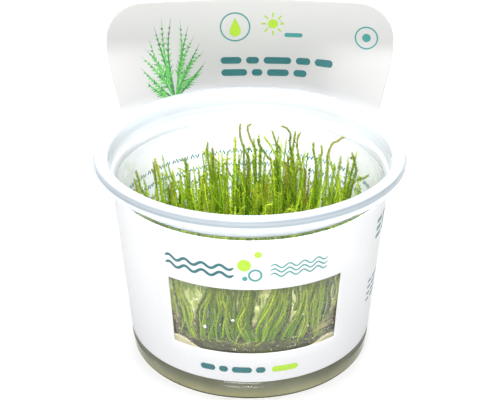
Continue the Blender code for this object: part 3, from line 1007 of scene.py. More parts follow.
def frond_fan():
    """A fan of bowed fronds with side blades, rising from one foot."""
    rng = random.Random(21)
    dark, pale = [], []
    for i in range(FAN_FRONDS):
        lean = -FAN_LEAN + 2 * FAN_LEAN * i / (FAN_FRONDS - 1)
        length = 29.5 - 11.5 * (abs(lean) / FAN_LEAN) ** 1.3 + rng.uniform(-1.5, 1.0)
        turn = math.radians(lean)
        tip = (FAN_FOOT[0] + length * math.sin(turn) * 0.72, FAN_FOOT[1] + length * math.cos(turn))
        stem = blade(FAN_FOOT, tip, rng.uniform(-1.6, 1.6), 0.75)
        (dark if i % 2 else pale).append(stem)
        for k in range(4, 13):
            for hand in (-1, 1):
                at = Vector(stem[0][k])
                reach = 3.4 * (1.1 - k / BLADE_STEPS) + rng.uniform(-0.3, 0.4)
                heading = turn + hand * BLADE_TURN
                end = at + Vector((math.sin(heading), math.cos(heading))) * reach
                (pale if (i + k) % 3 else dark).append(blade(at, end, hand * 0.25, 0.5))
    return dark, pale


def ray(middle, turn):
    """A short line that points away from a middle."""
    arm = Vector((math.cos(turn), math.sin(turn)))
    path = line_path(tuple(Vector(middle) + arm * 2.5), tuple(Vector(middle) + arm * 4.1), 0.4)
    return path, [0.55] * 5


fan_dark, fan_pale = frond_fan()
print_marks("print_fan_dark", fan_dark, ink_leaf, on_tag_front)
print_marks("print_fan_pale", fan_pale, ink_pale, on_tag_front)

title = bar_row((-10.4, 79.6), (7.4, 4.6, 9.8, 5.2, 6.6), 1.6, 2.5)
title += bar_row((-10.2, 75.0), (9.2, 3.8, 7.8, 4.8), 1.6, 2.5)
print_marks("print_title_bars", title, ink_teal, on_tag_front)

SUN_MIDDLE = (8.0, 93.2)
DOT_MIDDLE = (40.7, 89.6)
small_marks = [ring((-5.2, 92.0), 5.1, 0.5), ring(DOT_MIDDLE, 3.85, 0.5)]
small_marks += bar_row((12.0, 89.2), (6.4,), 1.0, 1.5)
print_marks("print_rings", small_marks, ink_sea, on_tag_front)
print_marks("print_drop", [drop((-5.2, 88.4), 7.2, 4.6)], ink_lime, on_tag_front)
rays = [ray(SUN_MIDDLE, FULL_TURN * i / 8) for i in range(8)]
print_marks("print_sun", [disc(SUN_MIDDLE, 1.7)] + rays, ink_lime, on_tag_front)
print_marks("print_ring_dot", [disc(DOT_MIDDLE, 1.5)], ink_sea, on_tag_front)

# %% Marks on the sleeve
waves_left = [wave((-28.0, height), 23.0, 0.75, 5.75, 0.95) for height in (50.8, 48.2)]
waves_right = [wave((6.2, height), 19.0, 0.7, 4.75, 0.45) for height in (51.2, 49.6, 48.0)]
bubbles_lime = [disc((-1.8, 51.8), 2.1), disc((2.4, 55.6), 1.1)]
bubbles_sea = [ring((1.6, 48.2), 1.9, 0.6), disc((-1.6, 47.0), 0.8)]
foot_bars = bar_row((-17.5, 11.8), (5.4, 3.2, 7.0, 3.4), 1.3, 2.2)
foot_bar_lime = bar_row((7.6, 11.8), (9.4,), 1.0, 2.2)
side_bars = []
for height in (52.6, 49.8, 47.0):
    side_bars += bar_row((51.0, height), (5.0, 7.5), 1.2, 1.5)
for height in (30.6, 28.2, 25.8, 23.4):
    side_bars += bar_row((50.0, height), (3.0, 5.5, 4.0), 0.9, 0.8)
print_marks("print_waves_dark", waves_left, ink_teal, on_sleeve_front)
print_marks("print_waves_light", waves_right, ink_sea, on_sleeve_front)
print_marks("print_bubbles_lime", bubbles_lime, ink_lime, on_sleeve_front)
print_marks("print_bubbles_sea", bubbles_sea, ink_sea, on_sleeve_front)
print_marks("print_foot_bars", foot_bars, ink_teal, on_sleeve_front)
print_marks("print_foot_bar_lime", foot_bar_lime, ink_lime, on_sleeve_front)
print_marks("print_side_bars", side_bars, ink_teal, on_sleeve_front)

# %% Marks on the inner side of the sleeve
STROKE_STEP = 0.62
STROKE_HIGH = 1.8
STROKE_LINE = 0.62
INNER_ROWS = ((48.1, 66.0), (43.2, 60.0), (38.6, 54.0), (34.0, 48.0))    # height and half length


def scribble(start, length, rng):
    """A short zigzag of uneven strokes."""
    count = max(3, round(length / STROKE_STEP))
    path = []
    for i in range(count + 1):
        up = (1 if i % 2 else -1) * STROKE_HIGH * rng.uniform(0.22, 0.5)
        path.append((start[0] + length * i / count, start[1] + up))
    return path, [STROKE_LINE] * len(path)


def inner_rows():
    """Four long rows of fine scribbles, seen over the moss on the far wall."""
    rng = random.Random(5)
    rows = []
    for height, half_length in INNER_ROWS:
        x = -half_length
        while x < half_length:
            length = rng.choice((2.2, 3.3, 4.4, 6.6, 8.8))
            rows.append(scribble((x, height), length, rng))
            x += length + 1.3
    return rows


marks = inner_rows()
print_marks("print_inner_rows", marks, ink_deep, inside_back)
print("scribbles on the inner side:", len(marks))

# %% [markdown]
# ## Growing the moss
#
# A moss shoot is a thin stem that is hidden in small pointed leaves, laid on it in a spiral like scales. The
# shoot is nowhere thicker than a millimetre and a half, and the cushion has several hundred of them, so this
# is one of the rare pieces that is better grown by code than modelled by hand: each shoot follows its own
# curve, and its leaves are placed along it in one array operation. Every leaf is a small closed solid of six
# triangles, with a keel on its outer side.
#
# Three values are stored at each point for the material: how far up its shoot it is, a painted shade for each
# leaf, partly random and darker at the leaf's foot and where the leaves lie close, and how dry it is.

# %% Curves and frames
def lengths_along(path):
    """How far along a path each of its points lies."""
    return np.concatenate([[0], np.cumsum(np.linalg.norm(np.diff(path, axis=0), axis=1))])


def read_at(wanted, along, values):
    """The three values of each point, read at other places along the path."""
    return np.stack([np.interp(wanted, along, values[:, k]) for k in range(3)], axis=1)


def curve_points(points, step):
    """Points at an even step along a smooth curve through the given ones (Catmull-Rom)."""
    given = np.array(points, dtype=float)
    ends = np.vstack([2 * given[0] - given[1], given, 2 * given[-1] - given[-2]])
    t = np.linspace(0, 1, 12, endpoint=False)[:, None]
    fine = []
    for i in range(1, len(ends) - 2):
        p0, p1, p2, p3 = ends[i - 1 : i + 3]
        line = 2 * p1 + (p2 - p0) * t
        bow = (2 * p0 - 5 * p1 + 4 * p2 - p3) * t**2
        curl = (3 * p1 - p0 - 3 * p2 + p3) * t**3
        fine.append(0.5 * (line + bow + curl))
    fine = np.vstack(fine + [given[-1:]])
    along = lengths_along(fine)
    count = max(4, int(along[-1] / step) + 1)
    return read_at(np.linspace(0, along[-1], count), along, fine)


def frames_along(path):
    """A tangent and two side directions at each point, carried along without twist."""
    tangent = np.gradient(path, axis=0)
    tangent /= np.linalg.norm(tangent, axis=1)[:, None]
    side = np.zeros_like(path)
    start = np.array((1.0, 0.0, 0.0)) if abs(tangent[0, 0]) < 0.8 else np.array((0.0, 1.0, 0.0))
    for i in range(len(path)):
        start = start - tangent[i] * start.dot(tangent[i])
        start /= np.linalg.norm(start)
        side[i] = start
    return tangent, side, np.cross(tangent, side)


# %% Stems as arrays
STEM_SIDES = 5


def stem_arrays(path, radii, marks):
    """A closed tube: a ring at each point and a point at each end."""
    tangent, side, other = frames_along(path)
    turn = np.arange(STEM_SIDES) * FULL_TURN / STEM_SIDES
    around = side[:, None] * np.cos(turn)[None, :, None] + other[:, None] * np.sin(turn)[None, :, None]
    rings = path[:, None] + around * radii[:, None, None]
    count = len(path)
    verts = np.vstack([rings.reshape(-1, 3), path[:1] - tangent[:1] * 0.1, path[-1:] + tangent[-1:] * 0.15])
    i = np.arange(count - 1)[:, None] * STEM_SIDES
    k = np.arange(STEM_SIDES)[None]
    after = (k + 1) % STEM_SIDES
    a, b, c, d = i + k, i + after, i + STEM_SIDES + after, i + STEM_SIDES + k
    walls = np.concatenate([np.stack([a, b, c], -1).reshape(-1, 3), np.stack([a, c, d], -1).reshape(-1, 3)])
    k, after = k[0], after[0]
    foot, top, last = count * STEM_SIDES, count * STEM_SIDES + 1, (count - 1) * STEM_SIDES
    caps = np.concatenate([
        np.stack([np.full(STEM_SIDES, foot), after, k], -1),
        np.stack([np.full(STEM_SIDES, top), last + k, last + after], -1),
    ])
    share = np.concatenate([np.repeat(np.linspace(0, 1, count), STEM_SIDES), [0, 1]])
    colors = np.stack([share, np.full(len(share), marks[0]), np.full(len(share), marks[1])], axis=1)
    return verts, np.concatenate([walls, caps]), colors


# %% Leaves as arrays
GOLDEN_TURN = math.radians(137.5)
WHORL = 1.3    # mm between two places where the leaves stand out
LEAF_FACES = np.array([(0, 1, 4), (1, 3, 4), (3, 2, 4), (2, 0, 4), (0, 2, 3), (0, 3, 1)])
LEAF_WIDEST = 0.55    # how far up a leaf it is widest, as a share of its length
LEAF_LIFT = 0.06    # how far its tip bends out, as a share of its length
LEAF_KEEL = 0.5    # how high its keel is, as a share of its half width
# From a leaf's foot over its two sides to its tip and its keel, its painted shade goes from dark, in the
# crease against the stem, to its own.
LEAF_SHADE_BASE = np.array([0.95, 0.35, 0.35, 0.0, 0.1])
LEAF_SHADE_RISE = np.array([0.05, 0.65, 0.65, 0.8, 0.8])
BROWN_FROM = 0.72    # a dry shoot is brown above this share of its length


def leaf_arrays(path, stem_radius, shape, rng, dry):
    """Leaves in a spiral. shape has the leaf's length, its half width, its spread in degrees and the step."""
    length, half_width, spread_deg, step = shape
    along = lengths_along(path)
    count = max(6, int(along[-1] / step))
    places = np.linspace(0.2, along[-1], count) + rng.uniform(-0.3, 0.3, count) * step
    places = np.clip(places, 0, along[-1])
    here, up, out_a, out_b = (read_at(places, along, values) for values in (path, *frames_along(path)))
    turn = np.arange(count) * GOLDEN_TURN + rng.uniform(-0.35, 0.35, count)
    out = out_a * np.cos(turn)[:, None] + out_b * np.sin(turn)[:, None]
    to_tip = (along[-1] - places) / max(along[-1], 1e-6)
    near_tip = np.clip((along[-1] - places) / rng.uniform(0.8, 2.6), 0, 1)
    beat = places / WHORL + 0.3 * np.sin(places * rng.uniform(0.5, 0.9)) + rng.uniform(0, 1)
    whorl = 0.5 + 0.5 * np.sin(FULL_TURN * beat)
    spread = np.radians(spread_deg) * (0.4 + 0.6 * near_tip) * (0.4 + 1.05 * whorl)
    spread *= rng.uniform(0.8, 1.2, count)
    size = length * (0.6 + 0.4 * near_tip) * (0.75 + 0.5 * whorl) * rng.uniform(0.85, 1.2, count)
    ahead = up * np.cos(spread)[:, None] + out * np.sin(spread)[:, None]
    face_out = out * np.cos(spread)[:, None] - up * np.sin(spread)[:, None]
    sideways = np.cross(ahead, face_out)
    foot = here + out * (stem_radius * 0.6)
    middle = foot + ahead * (size * LEAF_WIDEST)[:, None]
    tip = foot + ahead * size[:, None] + face_out * (size * LEAF_LIFT)[:, None]
    keel = middle + face_out * (half_width * LEAF_KEEL)
    points = [foot, middle + sideways * half_width, middle - sideways * half_width, tip, keel]
    verts = np.stack(points, axis=1).reshape(-1, 3)
    faces = (np.arange(count)[:, None, None] * len(points) + LEAF_FACES[None]).reshape(-1, 3)
    share = np.repeat(1 - to_tip, len(points))
    # painted shade: partly random, and darker where the leaves lie close to the stem
    leaf_shade = np.clip(0.65 * rng.uniform(0, 1, count) ** 1.3 + 0.55 * (1 - whorl) ** 2, 0, 1)
    leaf_painted_shade = (leaf_shade[:, None] * LEAF_SHADE_RISE + LEAF_SHADE_BASE).ravel()
    browning = dry * (0.12 + 0.88 * np.clip((1 - to_tip - BROWN_FROM) / 0.2, 0, 1))
    dryness = np.repeat(np.clip(browning + rng.normal(0, 0.06, count), 0, 1), len(points))
    return verts, faces, np.stack([share, leaf_painted_shade, dryness], axis=1)


# %% A piece of moss
LEAF = (0.78, 0.3, 36, 0.24)    # length, half width, spread in degrees and step of the usual leaf
STEM_TAPER = 0.45    # a stem's radius at its tip, as a share of that at its foot
WALL_SPAN = (6.6, 62.6)    # mm, the heights between which shoots meet the cup's wall


def keep_inside(path, clear):
    """Moves points of a shoot in from the cup's wall."""
    low, high = WALL_SPAN
    room = np.array([wall_inner(min(max(z, low), high)) for z in path[:, 2]]) - clear
    away = np.linalg.norm(path[:, :2], axis=1)
    share = np.minimum(1.0, room / np.maximum(away, 1e-6))
    inside = path.copy()
    inside[:, :2] *= share[:, None]
    return inside


class MossPiece:
    """Collects shoots and makes one mesh of them."""

    def __init__(self, name):
        self.name = name
        self.parts = []
        self.count = 0

    def shoot(self, points, rng, leaf=LEAF, stem=0.3, dry=0.0, base_share=0.0, clear=1.15):
        """Adds a stem with leaves along a curve, and gives the curve. base_share is how far up it starts."""
        path = keep_inside(curve_points(points, 1.0), clear)
        tone = rng.uniform(0, 1)
        stem_part = stem_arrays(path, np.linspace(stem, stem * STEM_TAPER, len(path)), (tone, dry))
        leaf_part = leaf_arrays(path, stem, leaf, rng, dry)
        leaf_part[2][:, 1] = np.clip(leaf_part[2][:, 1] + 0.7 * (tone - 0.6), 0, 1)
        for verts, faces, colors in (stem_part, leaf_part):
            colors[:, 0] = base_share + (1 - base_share) * colors[:, 0]
            self.parts.append((verts, faces + self.count, colors))
            self.count += len(verts)
        return path

    def finish(self, material, slot):
        verts, faces, colors = (np.vstack(arrays) for arrays in zip(*self.parts))
        mesh = bpy.data.meshes.new(self.name)
        mesh.vertices.add(len(verts))
        mesh.vertices.foreach_set("co", (verts * MM).astype(np.float32).ravel())
        mesh.loops.add(3 * len(faces))
        mesh.loops.foreach_set("vertex_index", faces.astype(np.int32).ravel())
        mesh.polygons.add(len(faces))
        mesh.polygons.foreach_set("loop_start", np.arange(0, 3 * len(faces), 3, dtype=np.int32))
        mesh.update(calc_edges=True)
        growth = mesh.color_attributes.new("growth", "FLOAT_COLOR", "POINT")
        rgba = np.hstack([colors, np.ones((len(colors), 1))]).astype(np.float32)
        growth.data.foreach_set("color", rgba.ravel())
        piece = piece_of(mesh, material)
        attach(piece, "root")
        print(self.name, "has", len(faces), "triangles")
        return piece


# %% [markdown]
# ## The colour of moss
#
# Fresh tips are yellow-green and almost glow, because light passes through leaves that are one cell thick.
# Lower down the same shoot is mid green, and at its foot it is dark and a little brown. A few shoots have dry
# tips. The material reads those three stored values: its colours meet in a ramp, and the painted shade
# darkens them.

# %% Moss materials
GREEN_GLOW = 0.4    # the share of light that comes through a leaf


def make_moss(name, ramp_stops, dry_color, shade):
    material, tree, shader = start_material(name, Roughness=0.5, Specular_IOR_Level=0.35)
    growth = add_node(tree, "ShaderNodeAttribute", attribute_name="growth")
    split = add_node(tree, "ShaderNodeSeparateColor")
    tree.links.new(growth.outputs["Color"], split.inputs["Color"])
    ramp = add_node(tree, "ShaderNodeValToRGB")
    stops = ramp.color_ramp.elements
    while len(stops) < len(ramp_stops):
        stops.new(0.5)
    for stop, (place, color) in zip(stops, ramp_stops):
        stop.position = place
        stop.color = (*color, 1.0)
    tree.links.new(split.outputs["Red"], ramp.inputs["Fac"])
    # painted shade: the second stored value darkens the colour towards the shade colour
    painted_shade_mix = add_node(tree, "ShaderNodeMix", data_type="RGBA", blend_type="MULTIPLY")
    painted_shade_mix.inputs[7].default_value = (*shade, 1.0)
    tree.links.new(ramp.outputs["Color"], painted_shade_mix.inputs[6])
    tree.links.new(split.outputs["Green"], painted_shade_mix.inputs[0])
    color = mix_color(tree, split.outputs["Blue"], painted_shade_mix.outputs[2], dry_color)
    tree.links.new(color, shader.inputs["Base Color"])
    glow_through(tree, shader, GREEN_GLOW, color)
    return material


young_moss = make_moss(
    "young_moss",
    (
        (0.0, (0.12, 0.34, 0.015)),
        (0.25, (0.36, 0.80, 0.03)),
        (0.6, (0.64, 0.98, 0.04)),
        (1.0, (0.86, 0.99, 0.07)),
    ),
    (0.33, 0.24, 0.012),
    (0.14, 0.29, 0.10),
)
vivid_moss = make_moss(
    "vivid_moss",
    ((0.0, (0.40, 0.62, 0.02)), (0.5, (0.74, 0.90, 0.03)), (1.0, (0.94, 0.98, 0.10))),
    (0.62, 0.50, 0.20),
    (0.45, 0.60, 0.35),
)
wet_moss = make_moss(
    "wet_moss",
    (
        (0.0, (0.05, 0.12, 0.012)),
        (0.2, (0.52, 0.80, 0.008)),
        (0.6, (0.84, 0.98, 0.008)),
        (1.0, (0.95, 0.99, 0.02)),
    ),
    (0.34, 0.20, 0.02),
    (0.18, 0.34, 0.10),
)
old_moss = make_moss(
    "old_moss",
    ((0.0, (0.05, 0.06, 0.015)), (0.5, (0.13, 0.18, 0.025)), (1.0, (0.34, 0.40, 0.06))),
    (0.22, 0.13, 0.05),
    (0.5, 0.5, 0.5),
)

# %% [markdown]
# ## The tufts
#
# The solid model has nineteen tufts: one in the middle, six around it and twelve along the wall. Each gets
# its own leafy piece on the same spot. The shoots of a tuft start close together and fan out like flames.
# They are tallest behind the middle of the cup, a little lower along the front, and low along the back wall,
# where the white card shows between them.

# %% Tuft places
MAT_TOP = 24.6
MAT_LOW = GEL_TOP + 0.1
MAT_RADIUS = 38.4
CROWN_RADIUS = 6.9


def crown_middle(node):
    """The middle of a solid tuft's crown, in mm, from its lowest points."""
    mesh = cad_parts[node].data
    lowest = min(vert.co.z for vert in mesh.vertices)
    foot = [vert.co for vert in mesh.vertices if vert.co.z < lowest + 0.2 * MM]
    return sum(v.x for v in foot) / len(foot) / MM, sum(v.y for v in foot) / len(foot) / MM


def moss_reach(x, y):
    """How high the moss grows over a place: highest a little behind the middle, lower at the back."""
    middle = math.exp(-((x - 3) ** 2 / 900 + (y - 8) ** 2 / 420))
    return 54.0 + 13.5 * middle - 18.0 * smooth_step(y, 16, 34)


tuft_nodes = sorted(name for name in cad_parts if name.startswith("moss_tuft"))
tuft_middles = {node: crown_middle(node) for node in tuft_nodes}
print("tufts:", len(tuft_nodes))

# %% Shoots of a tuft
SHOOTS_PER_TUFT = 31
SIDE_SHOOTS = 0.5    # the share of shoots that bear side shoots
HOOKED = 0.16    # the share of shoots whose tip bends over
FRESH = 0.86    # the share of shoots without a dry tip
STRAY = 1.7    # mm, how far tips stray for each 45 mm that they rise
RIGHT_SIDE = 18    # mm, past this the tips lean out to the right
HIGHEST_TIP = 69.0    # mm, of side shoots
SIDE_LEAF = (0.66, 0.25, 35, 0.24)


def wavy_points(foot, tip, swing, rng, count=7):
    """Points from foot to tip that sway to both sides on the way up."""
    foot, tip = np.array(foot, dtype=float), np.array(tip, dtype=float)
    phase = rng.uniform(0, FULL_TURN, 2)
    rate = rng.uniform(0.7, 1.5, 2)
    points = []
    for i in range(count):
        t = i / (count - 1)
        lean = t**1.35
        point = foot + (tip - foot) * np.array((lean, lean, t))
        sway = swing * math.sin(math.pi * min(1.0, t * 1.15))
        point[0] += sway * math.sin(phase[0] + FULL_TURN * rate[0] * t)
        point[1] += sway * math.sin(phase[1] + FULL_TURN * rate[1] * t)
        points.append(point)
    return points


def grow_tuft(node, middle, rng):
    piece = MossPiece(node.replace("moss_tuft", "leafy_tuft"))
    for _ in range(SHOOTS_PER_TUFT):
        turn = rng.uniform(0, FULL_TURN)
        away = (CROWN_RADIUS - 0.4) * math.sqrt(rng.uniform(0, 1))
        foot = np.array((middle[0] + away * math.cos(turn), middle[1] + away * math.sin(turn), MAT_TOP - 2.5))
        reach = moss_reach(foot[0], foot[1])
        top = MAT_TOP + (reach - MAT_TOP) * (0.46 + 0.56 * rng.uniform() ** 1.1)
        rise = (top - MAT_TOP) / 45
        fan = 0.28 * (foot[:2] - np.array(middle))
        outward = foot[:2] * 0.11
        stray = rng.normal(0, STRAY, 2)
        if foot[0] > RIGHT_SIDE:
            stray[0] += rng.uniform(0, 4.0)
        tip_xy = foot[:2] + (fan + outward + stray) * rise
        points = wavy_points(foot, (*tip_xy, top), rng.uniform(0.3, 1.1), rng)
        if rng.uniform() < HOOKED:
            hook = rng.normal(0, 1.0, 2)
            points.append(points[-1] + np.array((1.6 * hook[0], 1.6 * hook[1], 1.1)))
        dry = 0.0 if rng.uniform() < FRESH else rng.uniform(0.25, 0.8)
        path = piece.shoot(points, rng, dry=dry)
        if rng.uniform() < SIDE_SHOOTS:
            grow_side_shoots(piece, path, rng, dry)
    return piece


def grow_side_shoots(piece, path, rng, dry):
    """One or two short shoots that leave a longer one half way up and turn upwards."""
    for _ in range(rng.integers(1, 3)):
        at = rng.uniform(0.3, 0.8)
        root = path[int(at * (len(path) - 1))]
        length = rng.uniform(5, 13)
        turn = rng.uniform(0, FULL_TURN)
        out = np.array((math.cos(turn), math.sin(turn), 0))
        points = [root]
        for away, rise in ((0.22, 0.3), (0.40, 0.65), (0.48, 1)):
            points.append(root + out * length * away + np.array((0, 0, length * rise)))
        if points[-1][2] <= HIGHEST_TIP:
            piece.shoot(points, rng, leaf=SIDE_LEAF, stem=0.24, dry=dry * 0.6, base_share=at * 0.9)


moss_total = 0
for number, node in enumerate(tuft_nodes):
    tuft = grow_tuft(node, tuft_middles[node], np.random.default_rng(100 + number))
    leafy = tuft.finish(young_moss, "young_moss")
    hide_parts(node)
    moss_total += len(leafy.data.polygons)
print("triangles in the tufts:", moss_total)

# %% [markdown]
# ## The tall shoots
#
# Eighteen shoots stand out above the rest against the white card. Some nod over at the tip and some are
# partly brown. These are given as lists of points from the tip downwards.

# %% Tall shoots
TALL_LEAF = (0.66, 0.31, 32, 0.13)
TALL_SHOOTS = (
    # depth, dryness, (across, height) from the tip down
    (18, 0.30, ((-3.2, 69.2), (-3.4, 66.0), (-2.7, 62.3), (-1.3, 58.3), (-0.2, 54.8))),
    (18, 0.45, ((0.3, 69.2), (-0.9, 67.9), (-0.3, 65.3), (0.9, 61.7), (1.9, 58.1))),
    (8, 0.15, ((-13.8, 67.0), (-14.1, 64.0), (-13.6, 59.1), (-12.7, 54.8), (-11.3, 51.5))),
    (6, 0.55, ((-12.2, 66.1), (-12.1, 62.4), (-12.0, 57.4), (-11.1, 52.9))),
    (17, 0.35, (
        (10.5, 68.9), (11.9, 68.3), (13.1, 67.0), (13.6, 65.3), (13.3, 62.7), (14.2, 57.1), (14.9, 52.0)
    )),
    (15, 0.10, ((15.0, 67.9), (14.6, 63.6), (14.1, 59.2))),
    (14, 0.40, ((16.6, 67.7), (16.0, 66.7), (15.6, 63.5), (16.3, 58.5), (17.2, 53.7))),
    (14, 0.05, ((7.4, 68.3), (7.9, 66.7), (8.8, 63.5), (9.0, 59.7))),
    (12, 0.05, ((4.6, 67.2), (6.8, 64.1), (8.6, 60.5), (10.0, 55.8))),
    (10, 0.20, ((2.6, 67.4), (3.2, 65.3), (5.6, 61.1), (9.2, 55.8))),
    (10, 0.05, ((20.9, 66.1), (20.9, 63.4), (21.7, 59.4), (22.0, 54.8))),
    (9, 0.05, ((23.3, 65.5), (23.7, 63.5), (23.3, 59.9), (23.6, 54.3))),
    (7.8, 0.65, (
        (30.6, 69.1), (29.6, 68.6), (28.7, 67.7), (27.1, 67.0), (26.1, 64.7), (25.4, 62.2), (25.7, 57.9)
    )),
    (2, 0.30, ((33.0, 65.9), (34.3, 61.4), (34.6, 59.5), (33.1, 52.9))),
    (4, 0.35, ((-31.0, 63.2), (-30.3, 58.7), (-29.6, 55.4))),
    (0, 0.10, ((-36.9, 60.5), (-36.3, 58.2), (-35.6, 54.3), (-34.4, 51.5))),
    (-2, 0.40, ((-37.3, 58.6), (-36.7, 54.8))),
    (0, 0.20, ((38.3, 59.0), (36.4, 57.8), (34.6, 57.2), (33.0, 54.0))),
)


def grow_tall_shoots():
    rng = np.random.default_rng(7)
    piece = MossPiece("tall_shoots")
    for depth, dry, from_tip in TALL_SHOOTS:
        points = [(x, depth, z + 0.6) for x, z in reversed(from_tip)]
        low = points[0]
        foot = (low[0] * 0.9, depth - 1.5, MAT_TOP - 2)
        half_way = (low[0] * 0.96, depth - 0.6, (low[2] + MAT_TOP) / 2)
        piece.shoot([foot, half_way] + points, rng, leaf=TALL_LEAF, stem=0.36, dry=dry)
    piece.finish(young_moss, "young_moss")


grow_tall_shoots()

# %% [markdown]
# ## The old stems and the shoots along the wall
#
# Under the tufts lies a felt of old stems on the gel. Its body is a turned piece roughened by noise, dark
# along its edge and greener on top, and a tangle of thin stems lies over it. Behind the window the shoots
# lean on the wet wall: they are wavy, and some are threads with hardly a leaf. Low on the wall thin strands
# creep sideways over the edge of the felt.

# %% Felt body
FELT_TOP = MAT_TOP - 1.6


def felt_outline():
    rings = [(MAT_RADIUS - 2.2 - 4.2 * i, FELT_TOP) for i in range(8)]
    return [
        (CORE_RADIUS, MAT_LOW),
        *[(6.0 + 6.0 * i, MAT_LOW) for i in range(5)],
        (MAT_RADIUS - 0.9, MAT_LOW),
        *[(MAT_RADIUS - 0.6, MAT_LOW + 0.4 + 1.0 * i) for i in range(4)],
        *rings,
        (CORE_RADIUS, FELT_TOP),
    ]


def make_felt_material():
    material, tree, shader = start_material("moss_felt", Roughness=0.8)
    patches = cloud_mask(tree, 240.0, 0.4, 0.6)
    edge = mix_color(tree, patches, (0.028, 0.03, 0.004), (0.07, 0.085, 0.006))
    top = mix_color(tree, patches, (0.08, 0.12, 0.01), (0.16, 0.26, 0.02))
    upper = height_mask(tree, FELT_TOP, FELT_TOP + 0.8)
    tree.links.new(mix_color(tree, upper, edge, top), shader.inputs["Base Color"])
    surface_tooth(tree, shader, 1400.0, 0.8, 0.0006)
    return material


felt = turned_piece("moss_felt", felt_outline(), make_felt_material(), 60)
# %% Felt surface
FELT_REACH = 1.050    # the felt's edge is drawn out to the wall by this factor
BARE_CORNERS_DEG = (-41.0, 44.0)
BARE_SPREAD_DEG = 9.0
EDGE_UNDER = 36.0    # mm, outside this radius the underside sinks with the gel
EDGE_OUT = 30.0    # mm, outside this radius the felt is drawn out


def felt_spread(co):
    """How far the felt reaches to the wall: all the way, but for two bare places at the window's corners."""
    turn = degrees_from_front(co)
    bare = sum(math.exp(-(((turn - corner) / BARE_SPREAD_DEG) ** 2)) for corner in BARE_CORNERS_DEG)
    return FELT_REACH - 0.055 * bare


for vert in felt.data.vertices:
    bump = noise.noise(vert.co * 320) * 0.9 + noise.noise(vert.co * 900) * 0.5
    sunk = felt_dip(vert.co)
    if vert.co.z > (MAT_LOW + 0.5) * MM:
        vert.co.z += bump * MM
    elif vert.co.xy.length > EDGE_UNDER * MM:
        vert.co.z -= sunk * MM
    if vert.co.xy.length > EDGE_OUT * MM:
        vert.co.xy *= felt_spread(vert.co) + 0.010 * (bump - 0.9) * (1 - 0.7 * sunk)
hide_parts("moss_mat")
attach(felt, "root")

# %% Tangle on the felt
TANGLE_STEMS = 125
TANGLE_LEAF = (0.6, 0.16, 40, 0.42)


def grow_tangle():
    rng = np.random.default_rng(31)
    piece = MossPiece("old_stems")
    for _ in range(TANGLE_STEMS):
        turn = rng.uniform(0, FULL_TURN)
        away = (MAT_RADIUS - 1.0) * rng.uniform(0.35, 1.0) ** 0.5
        heading = turn + rng.uniform(-1.9, 1.9)
        point = np.array((away * math.cos(turn), away * math.sin(turn), rng.uniform(MAT_LOW + 0.6, MAT_TOP)))
        points = [point]
        for _ in range(rng.integers(4, 8)):
            heading += rng.normal(0, 0.55)
            step = rng.uniform(2.2, 3.6)
            rise = rng.uniform(-1.0, 1.3)
            point = point + np.array((step * math.cos(heading), step * math.sin(heading), rise))
            point[2] = min(max(point[2], MAT_LOW + 0.5), MAT_TOP + 3.0)
            points.append(point)
        dry = rng.choice((0.0, 0.3, 0.8))
        piece.shoot(points, rng, leaf=TANGLE_LEAF, stem=0.2, dry=dry)
    piece.finish(old_moss, "old_moss")


grow_tangle()

# %% Places on the wall
WALL_FOOT = 20.0


def wall_place(turn, height, depth):
    """A point at a depth from the cup's inner wall. turn runs from the front towards +X, in radians."""
    radius = wall_inner(height) - depth
    return np.array((radius * math.sin(turn), -radius * math.cos(turn), height))


def wall_points(guide, offset, depth, sway, rng):
    """Points along the wall, from a guide of (degrees, height), moved sideways by an offset in mm."""
    phase = rng.uniform(0, FULL_TURN)
    rate = rng.uniform(0.25, 0.4)
    points = []
    for i, (turn_deg, height) in enumerate(guide):
        side = offset * (0.45 + 0.55 * math.sin(math.pi * min(1.0, 0.15 + 0.28 * i)))
        side += sway * math.sin(phase + rate * height)
        turn = math.radians(turn_deg) + side / wall_inner(height)
        points.append(wall_place(turn, height + rng.uniform(-0.3, 0.3), depth + rng.uniform(-0.1, 0.1)))
    return points


